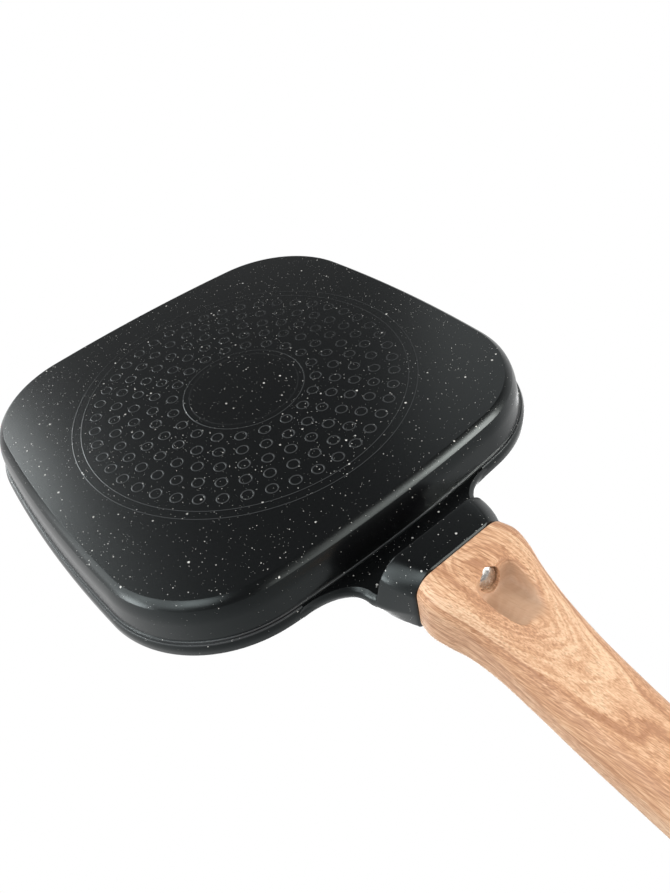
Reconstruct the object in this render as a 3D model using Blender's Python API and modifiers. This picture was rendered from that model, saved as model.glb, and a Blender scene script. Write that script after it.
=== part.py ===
"""Square grill pan: a cast aluminium bowl with a ribbed floor, a perforated steel plate
pressed into its underside, and a handle drawn onto the neck by one screw.

Metres, +Z up. The origin is the middle of the underside, and the handle runs along +X.
"""

import math

import bmesh
import bpy
from mathutils import Matrix, Vector

MM = 0.001
CLEARANCE = 0.3 * MM

# Bowl outline: a square with bowed sides and round corners, measured at the lower edge
BASE_HALF = 116.2 * MM
CORNER_RADIUS = 57.6 * MM
SIDE_BOW_RADIUS = 709.0 * MM
SIDE_STEPS = 4
CORNER_STEPS = 10

# Bowl section: heights are above the underside, and overhangs are past the lower edge
LOWER_EDGE_RADIUS = 8.1 * MM
WALL_DRAFT = math.radians(7.0)
WALL_TOP = 18.2 * MM
STEP_OVERHANG = 2.0 * MM
STEP_HEIGHT = 18.7 * MM
RIM_UNDERSIDE = 19.8 * MM
RIM_OVERHANG = 3.7 * MM
RIM_TOP = 25.9 * MM
RIM_EDGE_RADIUS = 1.3 * MM
RIM_LOWER_EDGE_RADIUS = 0.8 * MM
RIM_INNER_OVERHANG = -1.2 * MM
WALL_THICKNESS = 3.2 * MM
FLOOR_THICKNESS = 4.6 * MM
FLOOR_EDGE_RADIUS = 7.0 * MM

# Ribs on the cooking floor, running towards the handle
RIB_COUNT = 13
RIB_PITCH = 14.6 * MM
RIB_HEIGHT = 3.2 * MM
RIB_ROOT_WIDTH = 5.2 * MM
RIB_CROWN_WIDTH = 2.6 * MM
RIB_END_SLOPE = 5.0 * MM
RIB_END_MARGIN = 4.0 * MM
RIB_SINK = 0.8 * MM

# Perforated steel plate in the underside, and the line pressed round it
PLATE_INNER_RADIUS = 31.5 * MM
PLATE_OUTER_RADIUS = 85.5 * MM
PLATE_THICKNESS = 0.8 * MM
PLATE_HOLE_RADIUS = 2.85 * MM
PLATE_HOLE_SIDES = 8
HOLES_FROM_INNER_EDGE = 6.3 * MM
HOLES_FROM_OUTER_EDGE = 7.5 * MM
ROW_COUNT = 5
FIRST_ROW_HOLES = 20
HOLES_ADDED_PER_ROW = 6
ROW_TWIST = math.radians(8.0)
PRESSED_LINE_FROM_PLATE = 4.3 * MM
PRESSED_LINE_WIDTH = 1.2 * MM
PRESSED_LINE_DEPTH = 0.4 * MM
ROUND_STEPS = 72

# Neck: the flare out of the rim, and the block that the handle butts against
NECK_END = 152.5 * MM
NECK_ROOT_HALF = 35.4 * MM
NECK_END_HALF = 24.2 * MM
NECK_SIDE_LEAN = 2.8 * MM
FLARE_LENGTH = 12.5 * MM
FLARE_TIP_HALF = 51.0 * MM
NECK_RISE = 7.1 * MM
BLOCK_FRONT = 135.9 * MM
BLOCK_HALF = 26.9 * MM
BLOCK_END_HALF = 23.9 * MM
BLOCK_UNDERSIDE = 2.2 * MM
BLOCK_EDGE_RADIUS = 8.0 * MM
BLOCK_FRONT_EDGE_RADIUS = 1.6 * MM
BLOCK_ROOT_RADIUS = 2.5 * MM
NECK_TOP_EDGE_RADIUS = 3.5 * MM
NECK_END_CHAMFER = 0.7 * MM
TONGUE_LENGTH = 28.0 * MM
TONGUE_WIDTH = 24.0 * MM
TONGUE_HEIGHT = 7.0 * MM
TONGUE_MIDDLE_HEIGHT = 24.5 * MM
TONGUE_EDGE_RADIUS = 1.5 * MM

# Handle stations: distance from the neck, half width, height of the middle, half thickness,
# and the same for its tail, where the distance is from the handle's end
HANDLE_STATIONS = (
    (0.0, 24.2, 18.1, 15.9),
    (7.0, 25.4, 18.0, 16.0),
    (14.0, 24.2, 18.7, 15.6),
    (23.0, 21.3, 20.8, 14.9),
    (34.0, 19.4, 24.4, 14.0),
    (50.0, 18.3, 30.1, 12.9),
    (72.0, 17.7, 36.4, 12.3),
    (98.0, 16.8, 41.8, 12.2),
    (128.0, 16.2, 46.6, 12.4),
)
TAIL_STATIONS = (
    (34.0, 17.0, 50.4, 12.4),
    (12.0, 17.4, 53.2, 11.8),
)
HANDLE_LENGTH = 190.0 * MM
HANDLE_EDGE_RADIUS = 8.0 * MM
HANDLE_STEPS = 26
HANDLE_FRONT_CHAMFER = 0.5 * MM
HANG_HOLE_FROM_END = 19.0 * MM
HANG_HOLE_LENGTH = 20.0 * MM
HANG_HOLE_WIDTH = 9.0 * MM

# Screw: it slopes up towards the neck, and its head sits in a bore behind the scoop
SCREW_SLOPE = math.radians(17.0)
BORE_MOUTH_X = 168.3 * MM
BORE_MOUTH_Z = 7.9 * MM
BORE_RADIUS = 5.4 * MM
HEAD_SINK = 2.6 * MM
HEAD_RADIUS = 4.75 * MM
HEAD_HEIGHT = 3.4 * MM
HEAD_DOME_RADIUS = 9.5 * MM
SHANK_RADIUS = 2.5 * MM
THREAD_ENGAGEMENT = 12.0 * MM
DRIVE_SLOT_WIDTH = 1.1 * MM
DRIVE_SLOT_LENGTH = 4.6 * MM
DRIVE_SLOT_DEPTH = 1.8 * MM
WASHER_THICKNESS = 0.9 * MM
WASHER_RADIUS = 4.9 * MM
LOCK_WASHER_THICKNESS = 1.2 * MM
LOCK_WASHER_RADIUS = 4.3 * MM
LOCK_WASHER_GAP = 1.0 * MM
SCREW_STEPS = 28

# Scoop in the handle's underside, which lets a driver reach the screw
SCOOP_MIDDLE_X = 180.5 * MM
SCOOP_MIDDLE_Z = 4.2 * MM
SCOOP_HALF_LENGTH = 16.5 * MM
SCOOP_HALF_WIDTH = 10.6 * MM
SCOOP_HALF_DEPTH = 9.6 * MM
SCOOP_TILT = math.radians(14.0)


def clear_scene():
    """Remove every object that the scene holds."""
    for old in list(bpy.data.objects):
        bpy.data.objects.remove(old, do_unlink=True)


def new_collection(name):
    """A collection of this name, linked to the scene."""
    group = bpy.data.collections.new(name)
    bpy.context.scene.collection.children.link(group)
    return group


def new_material(name, color, roughness, metallic):
    """A Principled material of one colour."""
    made = bpy.data.materials.new(name)
    made.use_nodes = True
    made.diffuse_color = (*color, 1.0)
    surface = made.node_tree.nodes["Principled BSDF"]
    surface.inputs["Base Color"].default_value = (*color, 1.0)
    surface.inputs["Roughness"].default_value = roughness
    surface.inputs["Metallic"].default_value = metallic
    return made


def object_from_bmesh(name, shape, group, matrix=Matrix.Identity(4)):
    """Turn a bmesh into an object with outward faces, moved by the matrix."""
    bmesh.ops.recalc_face_normals(shape, faces=shape.faces)
    shape.transform(matrix)
    mesh = bpy.data.meshes.new(name)
    shape.to_mesh(mesh)
    shape.free()
    made = bpy.data.objects.new(name, mesh)
    group.objects.link(made)
    return made


def hide_cutter(cutter):
    """Mark an object as a cutter or a joined shape."""
    cutter.hide_render = True
    cutter.display_type = "WIRE"
    return cutter


def combine(target, cutter, operation):
    """Add an exact Boolean of this kind to the target."""
    step = target.modifiers.new(operation.title() + " " + cutter.name, "BOOLEAN")
    step.operation = operation
    step.solver = "EXACT"
    step.object = cutter


def arc(centre, radius, start, end, steps):
    """Points (u, v) on an arc, from the start angle to the end angle in degrees."""
    points = []
    for index in range(steps + 1):
        angle = math.radians(start + (end - start) * index / steps)
        points.append((centre[0] + radius * math.cos(angle), centre[1] + radius * math.sin(angle)))
    return points


def corner_place(overhang):
    """Where the corner arc's centre lies, and half the angle of a side's arc.

    A side is an arc of radius S about (H - S, 0), and a corner is an arc of radius R
    about (c, c). They are tangent where (c + S - H)^2 + c^2 = (S - R)^2.
    """
    shift = SIDE_BOW_RADIUS - BASE_HALF
    reach = SIDE_BOW_RADIUS - CORNER_RADIUS
    place = (-2 * shift + math.sqrt(4 * shift**2 - 8 * (shift**2 - reach**2))) / 4
    return place, math.atan2(place, place + shift), shift, SIDE_BOW_RADIUS + overhang, CORNER_RADIUS + overhang


def outline(overhang, height):
    """The bowl's outline at one height, offset outwards by the overhang."""
    place, half_angle, shift, side_radius, corner_radius = corner_place(overhang)
    side = arc((-shift, 0), side_radius, -math.degrees(half_angle), math.degrees(half_angle), SIDE_STEPS)
    start = math.degrees(half_angle)
    corner = arc((place, place), corner_radius, start, 90 - start, CORNER_STEPS)
    quarter = [Vector((x, y, height)) for x, y in side[:-1] + corner[:-1]]
    points = []
    for turn in range(4):
        spin = Matrix.Rotation(turn * math.pi / 2, 3, "Z")
        points.extend(spin @ point for point in quarter)
    return points


def half_chord(overhang, across):
    """Half the outline's length along X, at this distance from its middle line."""
    place, half_angle, shift, side_radius, corner_radius = corner_place(overhang)
    if abs(across) <= side_radius * math.sin(half_angle):
        return math.sqrt(side_radius**2 - across**2) - shift
    return place + math.sqrt(corner_radius**2 - (abs(across) - place) ** 2)


def loft(name, rings, group, matrix=Matrix.Identity(4)):
    """A closed body through rings of equal length, capped at both ends."""
    shape = bmesh.new()
    rows = [[shape.verts.new(point) for point in ring] for ring in rings]
    for first, second in zip(rows, rows[1:]):
        for index in range(len(first)):
            after = (index + 1) % len(first)
            shape.faces.new((first[index], first[after], second[after], second[index]))
    shape.faces.new(rows[0][::-1])
    shape.faces.new(rows[-1])
    return object_from_bmesh(name, shape, group, matrix)


def cylinder(name, radius, depth, group, matrix, sides=SCREW_STEPS):
    """A cylinder along the matrix's Z, centred on its origin."""
    shape = bmesh.new()
    bmesh.ops.create_cone(
        shape, cap_ends=True, segments=sides, radius1=radius, radius2=radius, depth=depth
    )
    return object_from_bmesh(name, shape, group, matrix)


def box(name, size, group, matrix, edge_radius=0.0):
    """A box centred on the matrix's origin, its edges rounded by the radius."""
    shape = bmesh.new()
    bmesh.ops.create_cube(shape, size=1.0)
    bmesh.ops.scale(shape, vec=size, verts=shape.verts)
    if edge_radius > 0:
        bmesh.ops.bevel(
            shape, geom=shape.edges[:], offset=edge_radius, segments=2, affect="EDGES", profile=0.5
        )
    return object_from_bmesh(name, shape, group, matrix)


def turned(name, profile, group, matrix, steps):
    """Turn a closed profile of (radius, height) pairs about the matrix's Z."""
    mesh = bpy.data.meshes.new(name)
    count = len(profile)
    edges = [(index, (index + 1) % count) for index in range(count)]
    mesh.from_pydata([(radius, 0, height) for radius, height in profile], edges, [])
    made = bpy.data.objects.new(name, mesh)
    group.objects.link(made)
    made.matrix_world = matrix
    screw = made.modifiers.new("Turn", "SCREW")
    screw.steps = steps
    screw.render_steps = steps
    screw.use_merge_vertices = True
    screw.merge_threshold = 0.00001
    return made


def bowl_profile():
    """(overhang, height) pairs from the underside, over the rim and down to the floor."""
    draft = math.degrees(WALL_DRAFT)
    lower_edge = arc((-LOWER_EDGE_RADIUS, LOWER_EDGE_RADIUS), LOWER_EDGE_RADIUS, -90, -draft, 4)
    slope = math.tan(WALL_DRAFT)
    wall_foot = lower_edge[-1]

    def wall_overhang(height):
        return wall_foot[0] + slope * (height - wall_foot[1])

    step_foot = STEP_HEIGHT + (RIM_UNDERSIDE - STEP_HEIGHT) * 0.8
    under_rim = RIM_OVERHANG - RIM_LOWER_EDGE_RADIUS
    rim_lower_edge = arc(
        (under_rim, RIM_UNDERSIDE + RIM_LOWER_EDGE_RADIUS), RIM_LOWER_EDGE_RADIUS, -90, 0, 2
    )
    rim_upper_edge = arc(
        (RIM_OVERHANG - RIM_EDGE_RADIUS, RIM_TOP - RIM_EDGE_RADIUS), RIM_EDGE_RADIUS, 0, 90, 2
    )
    rim_inner_edge = arc(
        (RIM_INNER_OVERHANG + RIM_EDGE_RADIUS, RIM_TOP - RIM_EDGE_RADIUS), RIM_EDGE_RADIUS, 90, 180, 2
    )
    inset = WALL_THICKNESS / math.cos(WALL_DRAFT)
    floor_edge_lift = FLOOR_EDGE_RADIUS * (1 - math.sin(WALL_DRAFT))
    floor_edge_top = FLOOR_THICKNESS + floor_edge_lift
    floor_edge_middle = (
        wall_overhang(floor_edge_top) - inset - FLOOR_EDGE_RADIUS * math.cos(WALL_DRAFT),
        FLOOR_THICKNESS + FLOOR_EDGE_RADIUS,
    )
    floor_edge = arc(floor_edge_middle, FLOOR_EDGE_RADIUS, -draft, -90, 4)
    inner_top = rim_inner_edge[-1][1] - RIM_EDGE_RADIUS
    profile = lower_edge
    profile += [(wall_overhang(WALL_TOP), WALL_TOP), (STEP_OVERHANG, STEP_HEIGHT)]
    profile += [(STEP_OVERHANG, step_foot)]
    profile += rim_lower_edge + rim_upper_edge + rim_inner_edge
    profile += [(wall_overhang(inner_top) - inset, inner_top)]
    profile += floor_edge
    return profile


def make_ribs(group):
    """Tapered ribs on the floor, each as long as the floor is there."""
    ribs = []
    floor_overhang = bowl_profile()[-1][0]
    for index in range(RIB_COUNT):
        across = (index - (RIB_COUNT - 1) / 2) * RIB_PITCH
        half_root = half_chord(floor_overhang, across) - RIB_END_MARGIN
        half_crown = half_root - RIB_END_SLOPE
        low = FLOOR_THICKNESS - RIB_SINK
        high = FLOOR_THICKNESS + RIB_HEIGHT
        shoulder = FLOOR_THICKNESS + RIB_HEIGHT * 0.8
        rings = []
        for height, half_length, width in (
            (low, half_root, RIB_ROOT_WIDTH),
            (shoulder, half_crown, RIB_CROWN_WIDTH * 1.25),
            (high, half_crown - RIB_HEIGHT * 0.2, RIB_CROWN_WIDTH * 0.6),
        ):
            corners = ((1, -1), (1, 1), (-1, 1), (-1, -1))
            rings.append([
                Vector((sx * half_length, across + sy * width / 2, height)) for sx, sy in corners
            ])
        ribs.append(loft(f"rib_{index}", rings, group))
    return join_separate("floor_ribs", ribs, group)


def join_separate(name, pieces, group):
    """Gather meshes that don't touch into one cutter object, and drop the pieces."""
    shape = bmesh.new()
    for piece in pieces:
        shape.from_mesh(piece.data)
        bpy.data.objects.remove(piece, do_unlink=True)
    return hide_cutter(object_from_bmesh(name, shape, group))


def rounded_section(place, half_low, half_high, low, high, low_radius, high_radius, waist=None):
    """A ring at one X: a box section with rounded corners, and a (half width, height) waist."""
    low_arc = arc((half_low - low_radius, low + low_radius), low_radius, -90, 0, 4)
    high_arc = arc((half_high - high_radius, high - high_radius), high_radius, 0, 90, 4)
    side = low_arc + ([waist] if waist else []) + high_arc
    ring = side + [(-across, height) for across, height in side[::-1]]
    return [Vector((place, across, height)) for across, height in ring]


def neck_half_width(place):
    """Half the neck's width at its widest: a concave flare, then a taper that grows steeper."""
    root = rim_edge_at(FLARE_TIP_HALF) + FLARE_LENGTH
    if place < root:
        share = (root - place) / FLARE_LENGTH
        spread = FLARE_TIP_HALF - NECK_ROOT_HALF
        return NECK_ROOT_HALF + spread * (1 - math.sqrt(max(0.0, 1 - share**2)))
    share = (place - root) / (NECK_END - root)
    return NECK_ROOT_HALF + (NECK_END_HALF - NECK_ROOT_HALF) * share**2.2


def block_half_width(place):
    """Half the block's width near its underside."""
    share = (place - BLOCK_FRONT) / (NECK_END - BLOCK_FRONT)
    return BLOCK_END_HALF + (BLOCK_HALF - BLOCK_END_HALF) * (1 - share**2.2)


def rim_edge_at(across):
    """X of the rim's outer face at this distance from the middle line."""
    return half_chord(RIM_OVERHANG, across)


def neck_top(place):
    """Height of the neck's top: it leaves the rim level and ends level with the handle."""
    start = rim_edge_at(0.0)
    share = min(1.0, max(0.0, (place - start) / (NECK_END - start)))
    return RIM_TOP + NECK_RISE * share**2 * (3 - 2 * share)


def make_neck(group):
    """The flared web and the block under it, as one loft along X."""
    rim_middle = (RIM_OVERHANG + RIM_INNER_OVERHANG) / 2
    flare_start = rim_edge_at(FLARE_TIP_HALF)
    start = half_chord(rim_middle, FLARE_TIP_HALF)
    flare = [(flare_start + FLARE_LENGTH * share, RIM_UNDERSIDE) for share in (0.0, 0.03, 0.12, 0.3, 0.6, 1.0)]
    full_drop = RIM_UNDERSIDE - BLOCK_UNDERSIDE
    stations = [(start, RIM_UNDERSIDE)] + flare + [
        (BLOCK_FRONT - BLOCK_ROOT_RADIUS, RIM_UNDERSIDE),
        (BLOCK_FRONT - 0.3 * BLOCK_ROOT_RADIUS, RIM_UNDERSIDE - 0.3 * BLOCK_ROOT_RADIUS),
        (BLOCK_FRONT, RIM_UNDERSIDE - BLOCK_ROOT_RADIUS),
        (BLOCK_FRONT + CLEARANCE, BLOCK_UNDERSIDE + BLOCK_FRONT_EDGE_RADIUS),
        (BLOCK_FRONT + 0.4 * BLOCK_FRONT_EDGE_RADIUS, BLOCK_UNDERSIDE + 0.3 * BLOCK_FRONT_EDGE_RADIUS),
        (BLOCK_FRONT + BLOCK_FRONT_EDGE_RADIUS, BLOCK_UNDERSIDE),
    ]
    run = NECK_END - NECK_END_CHAMFER - stations[-1][0]
    stations += [(stations[-1][0] + run * share, BLOCK_UNDERSIDE) for share in (0.3, 0.55, 0.8, 1.0)]
    rings = []
    for place, low in stations:
        half_waist = neck_half_width(max(place, flare_start))
        drop = (RIM_UNDERSIDE - low) / full_drop
        share = (place - start) / (NECK_END - start)
        half_low = half_waist - RIM_LOWER_EDGE_RADIUS
        half_low += (block_half_width(max(place, BLOCK_FRONT)) - half_low) * min(1.0, drop * 1.3)
        waist = (half_waist, RIM_UNDERSIDE + 3 * RIM_LOWER_EDGE_RADIUS)
        rings.append(rounded_section(
            place, half_low, half_waist - NECK_SIDE_LEAN * (1 - share**4), low, neck_top(place),
            RIM_LOWER_EDGE_RADIUS + (BLOCK_EDGE_RADIUS - RIM_LOWER_EDGE_RADIUS) * drop,
            RIM_EDGE_RADIUS + (NECK_TOP_EDGE_RADIUS - RIM_EDGE_RADIUS) * share, waist,
        ))
    rings.append(rounded_section(
        NECK_END, BLOCK_END_HALF - NECK_END_CHAMFER, NECK_END_HALF - NECK_END_CHAMFER,
        BLOCK_UNDERSIDE + NECK_END_CHAMFER, neck_top(NECK_END) - NECK_END_CHAMFER,
        BLOCK_EDGE_RADIUS - NECK_END_CHAMFER, NECK_TOP_EDGE_RADIUS - NECK_END_CHAMFER,
        (NECK_END_HALF - NECK_END_CHAMFER, RIM_UNDERSIDE + 3 * RIM_LOWER_EDGE_RADIUS),
    ))
    return hide_cutter(loft("neck", rings, group))


def plate_holes():
    """Centre and turn of each of the plate's holes: every row holds more, and has one on +Y."""
    holes = []
    first_row = PLATE_INNER_RADIUS + HOLES_FROM_INNER_EDGE
    row_pitch = (PLATE_OUTER_RADIUS - HOLES_FROM_OUTER_EDGE - first_row) / (ROW_COUNT - 1)
    for row in range(ROW_COUNT):
        radius = first_row + row * row_pitch
        count = FIRST_ROW_HOLES + row * HOLES_ADDED_PER_ROW
        for index in range(count):
            angle = math.pi / 2 + 2 * math.pi * index / count
            holes.append((radius * math.cos(angle), radius * math.sin(angle), angle + row * ROW_TWIST))
    return holes


def perforated_sheet(name, inner, outer, hole_radius, low, high, group):
    """A flat ring with the plate's holes in it, between two heights."""
    flat = bpy.data.curves.new(name, "CURVE")
    flat.dimensions = "2D"
    flat.fill_mode = "BOTH"
    flat.extrude = (high - low) / 2
    circles = [(0.0, 0.0, 0.0, outer, ROUND_STEPS), (0.0, 0.0, 0.0, inner, ROUND_STEPS)]
    circles += [(x, y, turn, hole_radius, PLATE_HOLE_SIDES) for x, y, turn in plate_holes()]
    for x, y, turn, radius, sides in circles:
        line = flat.splines.new("POLY")
        line.points.add(sides - 1)
        line.use_cyclic_u = True
        for index, point in enumerate(line.points):
            angle = turn + 2 * math.pi * index / sides
            point.co = (x + radius * math.cos(angle), y + radius * math.sin(angle), 0.0, 1.0)
    drawn = bpy.data.objects.new(name + "_outline", flat)
    group.objects.link(drawn)
    evaluated = drawn.evaluated_get(bpy.context.evaluated_depsgraph_get())
    mesh = bpy.data.meshes.new_from_object(evaluated)
    bpy.data.objects.remove(drawn, do_unlink=True)
    shape = bmesh.new()
    shape.from_mesh(mesh)
    bpy.data.meshes.remove(mesh)
    bmesh.ops.remove_doubles(shape, verts=shape.verts, dist=0.00001)
    return object_from_bmesh(name, shape, group, Matrix.Translation((0, 0, (low + high) / 2)))


def screw_frame(distance):
    """A frame on the screw's axis, Z pointing out of the bore, this far from the bore's mouth."""
    outwards = Vector((math.cos(SCREW_SLOPE), 0, -math.sin(SCREW_SLOPE)))
    place = Vector((BORE_MOUTH_X, 0, BORE_MOUTH_Z)) + outwards * distance
    turn = outwards.to_track_quat("Z", "X").to_matrix().to_4x4()
    return Matrix.Translation(place) @ turn


def head_seat():
    """Distance from the bore's mouth to the underside of the screw's head."""
    return -(HEAD_SINK + HEAD_HEIGHT)


def washer_stack():
    """Depth of both washers and the gaps between them."""
    return WASHER_THICKNESS + LOCK_WASHER_THICKNESS + 3 * CLEARANCE


def screw_tip():
    """Distance from the bore's mouth to the screw's tip, inside the neck."""
    to_neck = (BORE_MOUTH_X - NECK_END) / math.cos(SCREW_SLOPE)
    return -(to_neck + THREAD_ENGAGEMENT)


def axis_cylinder(name, radius, near, far, group):
    """A cutter cylinder on the screw's axis, between two distances from the bore's mouth."""
    return hide_cutter(cylinder(name, radius, near - far, group, screw_frame((near + far) / 2)))


def make_body(group, cutters, material):
    """The casting: bowl, ribs, neck, tongue and the studs that hold the steel plate."""
    body = loft("pan_body", [outline(overhang, height) for overhang, height in bowl_profile()], group)
    body.data.materials.append(material)
    combine(body, make_ribs(cutters), "UNION")
    combine(body, make_neck(cutters), "UNION")
    sunk = NECK_END - 4 * TONGUE_EDGE_RADIUS
    reach = NECK_END + TONGUE_LENGTH
    tongue_place = Matrix.Translation(((sunk + reach) / 2, 0, TONGUE_MIDDLE_HEIGHT))
    tongue = box(
        "tongue", (reach - sunk, TONGUE_WIDTH, TONGUE_HEIGHT), cutters, tongue_place, TONGUE_EDGE_RADIUS
    )
    combine(body, hide_cutter(tongue), "UNION")
    hole = axis_cylinder(
        "thread_hole", SHANK_RADIUS + CLEARANCE, head_seat(), screw_tip() - 2 * CLEARANCE, cutters
    )
    combine(body, hole, "DIFFERENCE")
    recess = perforated_sheet(
        "plate_recess", PLATE_INNER_RADIUS - CLEARANCE, PLATE_OUTER_RADIUS + CLEARANCE,
        PLATE_HOLE_RADIUS - CLEARANCE, -PLATE_THICKNESS, PLATE_THICKNESS + CLEARANCE, cutters,
    )
    combine(body, hide_cutter(recess), "DIFFERENCE")
    line_inner = PLATE_OUTER_RADIUS + PRESSED_LINE_FROM_PLATE - PRESSED_LINE_WIDTH / 2
    line_outer = line_inner + PRESSED_LINE_WIDTH
    section = (
        (line_outer, PRESSED_LINE_DEPTH), (line_outer, -PRESSED_LINE_DEPTH),
        (line_inner, -PRESSED_LINE_DEPTH), (line_inner, PRESSED_LINE_DEPTH),
    )
    pressed_line = turned("pressed_line", section, cutters, Matrix.Identity(4), ROUND_STEPS)
    combine(body, hide_cutter(pressed_line), "DIFFERENCE")
    return body


def make_plate(group, material):
    """The perforated steel plate, flush with the underside."""
    plate = perforated_sheet(
        "induction_plate", PLATE_INNER_RADIUS, PLATE_OUTER_RADIUS, PLATE_HOLE_RADIUS,
        0.0, PLATE_THICKNESS, group,
    )
    plate.data.materials.append(material)
    return plate


def handle_table():
    """All the handle's stations, with their distances from the neck in metres."""
    table = [(place * MM, *sizes) for place, *sizes in HANDLE_STATIONS]
    return table + [(HANDLE_LENGTH - place * MM, *sizes) for place, *sizes in TAIL_STATIONS]


def smooth_station(distance):
    """Half width, middle height and half thickness at a distance from the neck, by cubic pieces."""
    table = handle_table()
    last = len(table) - 1
    index = next((i for i in range(last) if distance <= table[i + 1][0]), last - 1)
    first, second = table[index], table[index + 1]
    before = table[max(index - 1, 0)]
    after = table[min(index + 2, last)]
    span = second[0] - first[0]
    share = (distance - first[0]) / span
    values = []
    for column in (1, 2, 3):
        start_slope = (second[column] - before[column]) / (second[0] - before[0])
        end_slope = (after[column] - first[column]) / (after[0] - first[0])
        value = (2 * share**3 - 3 * share**2 + 1) * first[column]
        value += (share**3 - 2 * share**2 + share) * span * start_slope
        value += (3 * share**2 - 2 * share**3) * second[column]
        value += (share**3 - share**2) * span * end_slope
        values.append(value * MM)
    return values


def handle_ring(distance, inset=0.0):
    """The handle's section at a distance from the neck, drawn in by the inset."""
    half, middle, thick = smooth_station(distance)
    half -= inset
    thick -= inset
    radius = min(HANDLE_EDGE_RADIUS, half * 0.98, thick * 0.98)
    place = NECK_END + CLEARANCE + distance
    return rounded_section(place, half, half, middle - thick, middle + thick, radius, radius)


def handle_end_inset(share, end_radius):
    """How far the section is drawn in at this share of the round end, from 0 to 1."""
    return end_radius * (1 - math.sqrt(max(0.0, 1 - share**2)))


def make_handle(group, cutters, material):
    """The grip: a loft through its stations with a round end, cut for tongue, screw and hook."""
    end_radius = TAIL_STATIONS[-1][0] * MM
    straight = HANDLE_LENGTH - end_radius
    rings = [handle_ring(0.0, HANDLE_FRONT_CHAMFER), handle_ring(HANDLE_FRONT_CHAMFER)]
    for index in range(1, HANDLE_STEPS):
        rings.append(handle_ring(straight * (index / HANDLE_STEPS) ** 1.15))
    for share in (0.0, 0.35, 0.62, 0.82, 0.94, 0.99):
        rings.append(handle_ring(straight + end_radius * share, handle_end_inset(share, end_radius * 0.9)))
    handle = loft("handle", rings, group)
    handle.data.materials.append(material)
    front = NECK_END + CLEARANCE
    socket_depth = TONGUE_LENGTH + CLEARANCE
    socket_size = (
        2 * socket_depth, TONGUE_WIDTH + 2 * CLEARANCE, TONGUE_HEIGHT + 2 * CLEARANCE
    )
    socket = box(
        "socket", socket_size, cutters, Matrix.Translation((front - CLEARANCE, 0, TONGUE_MIDDLE_HEIGHT)),
        TONGUE_EDGE_RADIUS,
    )
    combine(handle, hide_cutter(socket), "DIFFERENCE")
    seat = head_seat() - washer_stack()
    combine(handle, axis_cylinder(
        "screw_clearance", SHANK_RADIUS + CLEARANCE, 0.0, screw_tip(), cutters
    ), "DIFFERENCE")
    combine(handle, axis_cylinder(
        "head_bore", BORE_RADIUS, SCOOP_HALF_LENGTH / 2, seat, cutters
    ), "DIFFERENCE")
    scoop = bmesh.new()
    bmesh.ops.create_uvsphere(scoop, u_segments=24, v_segments=14, radius=1.0)
    bmesh.ops.scale(scoop, vec=(SCOOP_HALF_LENGTH, SCOOP_HALF_WIDTH, SCOOP_HALF_DEPTH), verts=scoop.verts)
    scoop_place = Matrix.Translation((SCOOP_MIDDLE_X, 0, SCOOP_MIDDLE_Z))
    scoop_place @= Matrix.Rotation(-SCOOP_TILT, 4, "Y")
    combine(handle, hide_cutter(object_from_bmesh("scoop", scoop, cutters, scoop_place)), "DIFFERENCE")
    combine(handle, make_hang_slot(cutters), "DIFFERENCE")
    return handle


def make_hang_slot(cutters):
    """The slot near the handle's end that a hook goes through."""
    middle_x = NECK_END + HANDLE_LENGTH - HANG_HOLE_FROM_END
    half = HANG_HOLE_WIDTH / 2
    run = HANG_HOLE_LENGTH / 2 - half
    outer = arc((middle_x + run, 0), half, -90, 90, 8) + arc((middle_x - run, 0), half, 90, 270, 8)
    rings = [[Vector((x, y, height)) for x, y in outer] for height in (0.0, 3 * RIM_TOP)]
    return hide_cutter(loft("hang_slot", rings, cutters))


def make_screw(group, cutters, material):
    """Domed screw with a cross drive, its thread drawn as a plain shank."""
    length = head_seat() - screw_tip()
    dome_edge = math.degrees(math.acos(HEAD_RADIUS / HEAD_DOME_RADIUS))
    dome = arc((0, HEAD_HEIGHT - HEAD_DOME_RADIUS), HEAD_DOME_RADIUS, 90, dome_edge, 5)
    profile = [(0.0, HEAD_HEIGHT)] + dome[1:]
    profile += [(HEAD_RADIUS, 0.0), (SHANK_RADIUS, 0.0)]
    profile += [(SHANK_RADIUS, -length + SHANK_RADIUS / 2), (SHANK_RADIUS * 0.6, -length), (0.0, -length)]
    screw = turned_open("handle_screw", profile, group, screw_frame(head_seat()), SCREW_STEPS)
    screw.data.materials.append(material)
    depth = screw_frame(head_seat() + HEAD_HEIGHT)
    for index, turn in enumerate((math.radians(20), math.radians(110))):
        place = depth @ Matrix.Rotation(turn, 4, "Z")
        size = (DRIVE_SLOT_LENGTH, DRIVE_SLOT_WIDTH, 2 * DRIVE_SLOT_DEPTH)
        combine(screw, hide_cutter(box(f"drive_slot_{index}", size, cutters, place)), "DIFFERENCE")
    return screw


def turned_open(name, profile, group, matrix, steps):
    """Turn a profile that starts and ends on the axis, from top to bottom."""
    mesh = bpy.data.meshes.new(name)
    edges = [(index, index + 1) for index in range(len(profile) - 1)]
    mesh.from_pydata([(radius, 0, height) for radius, height in profile], edges, [])
    made = bpy.data.objects.new(name, mesh)
    group.objects.link(made)
    made.matrix_world = matrix
    screw = made.modifiers.new("Turn", "SCREW")
    screw.steps = steps
    screw.render_steps = steps
    screw.use_merge_vertices = True
    screw.merge_threshold = 0.00001
    return made


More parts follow.
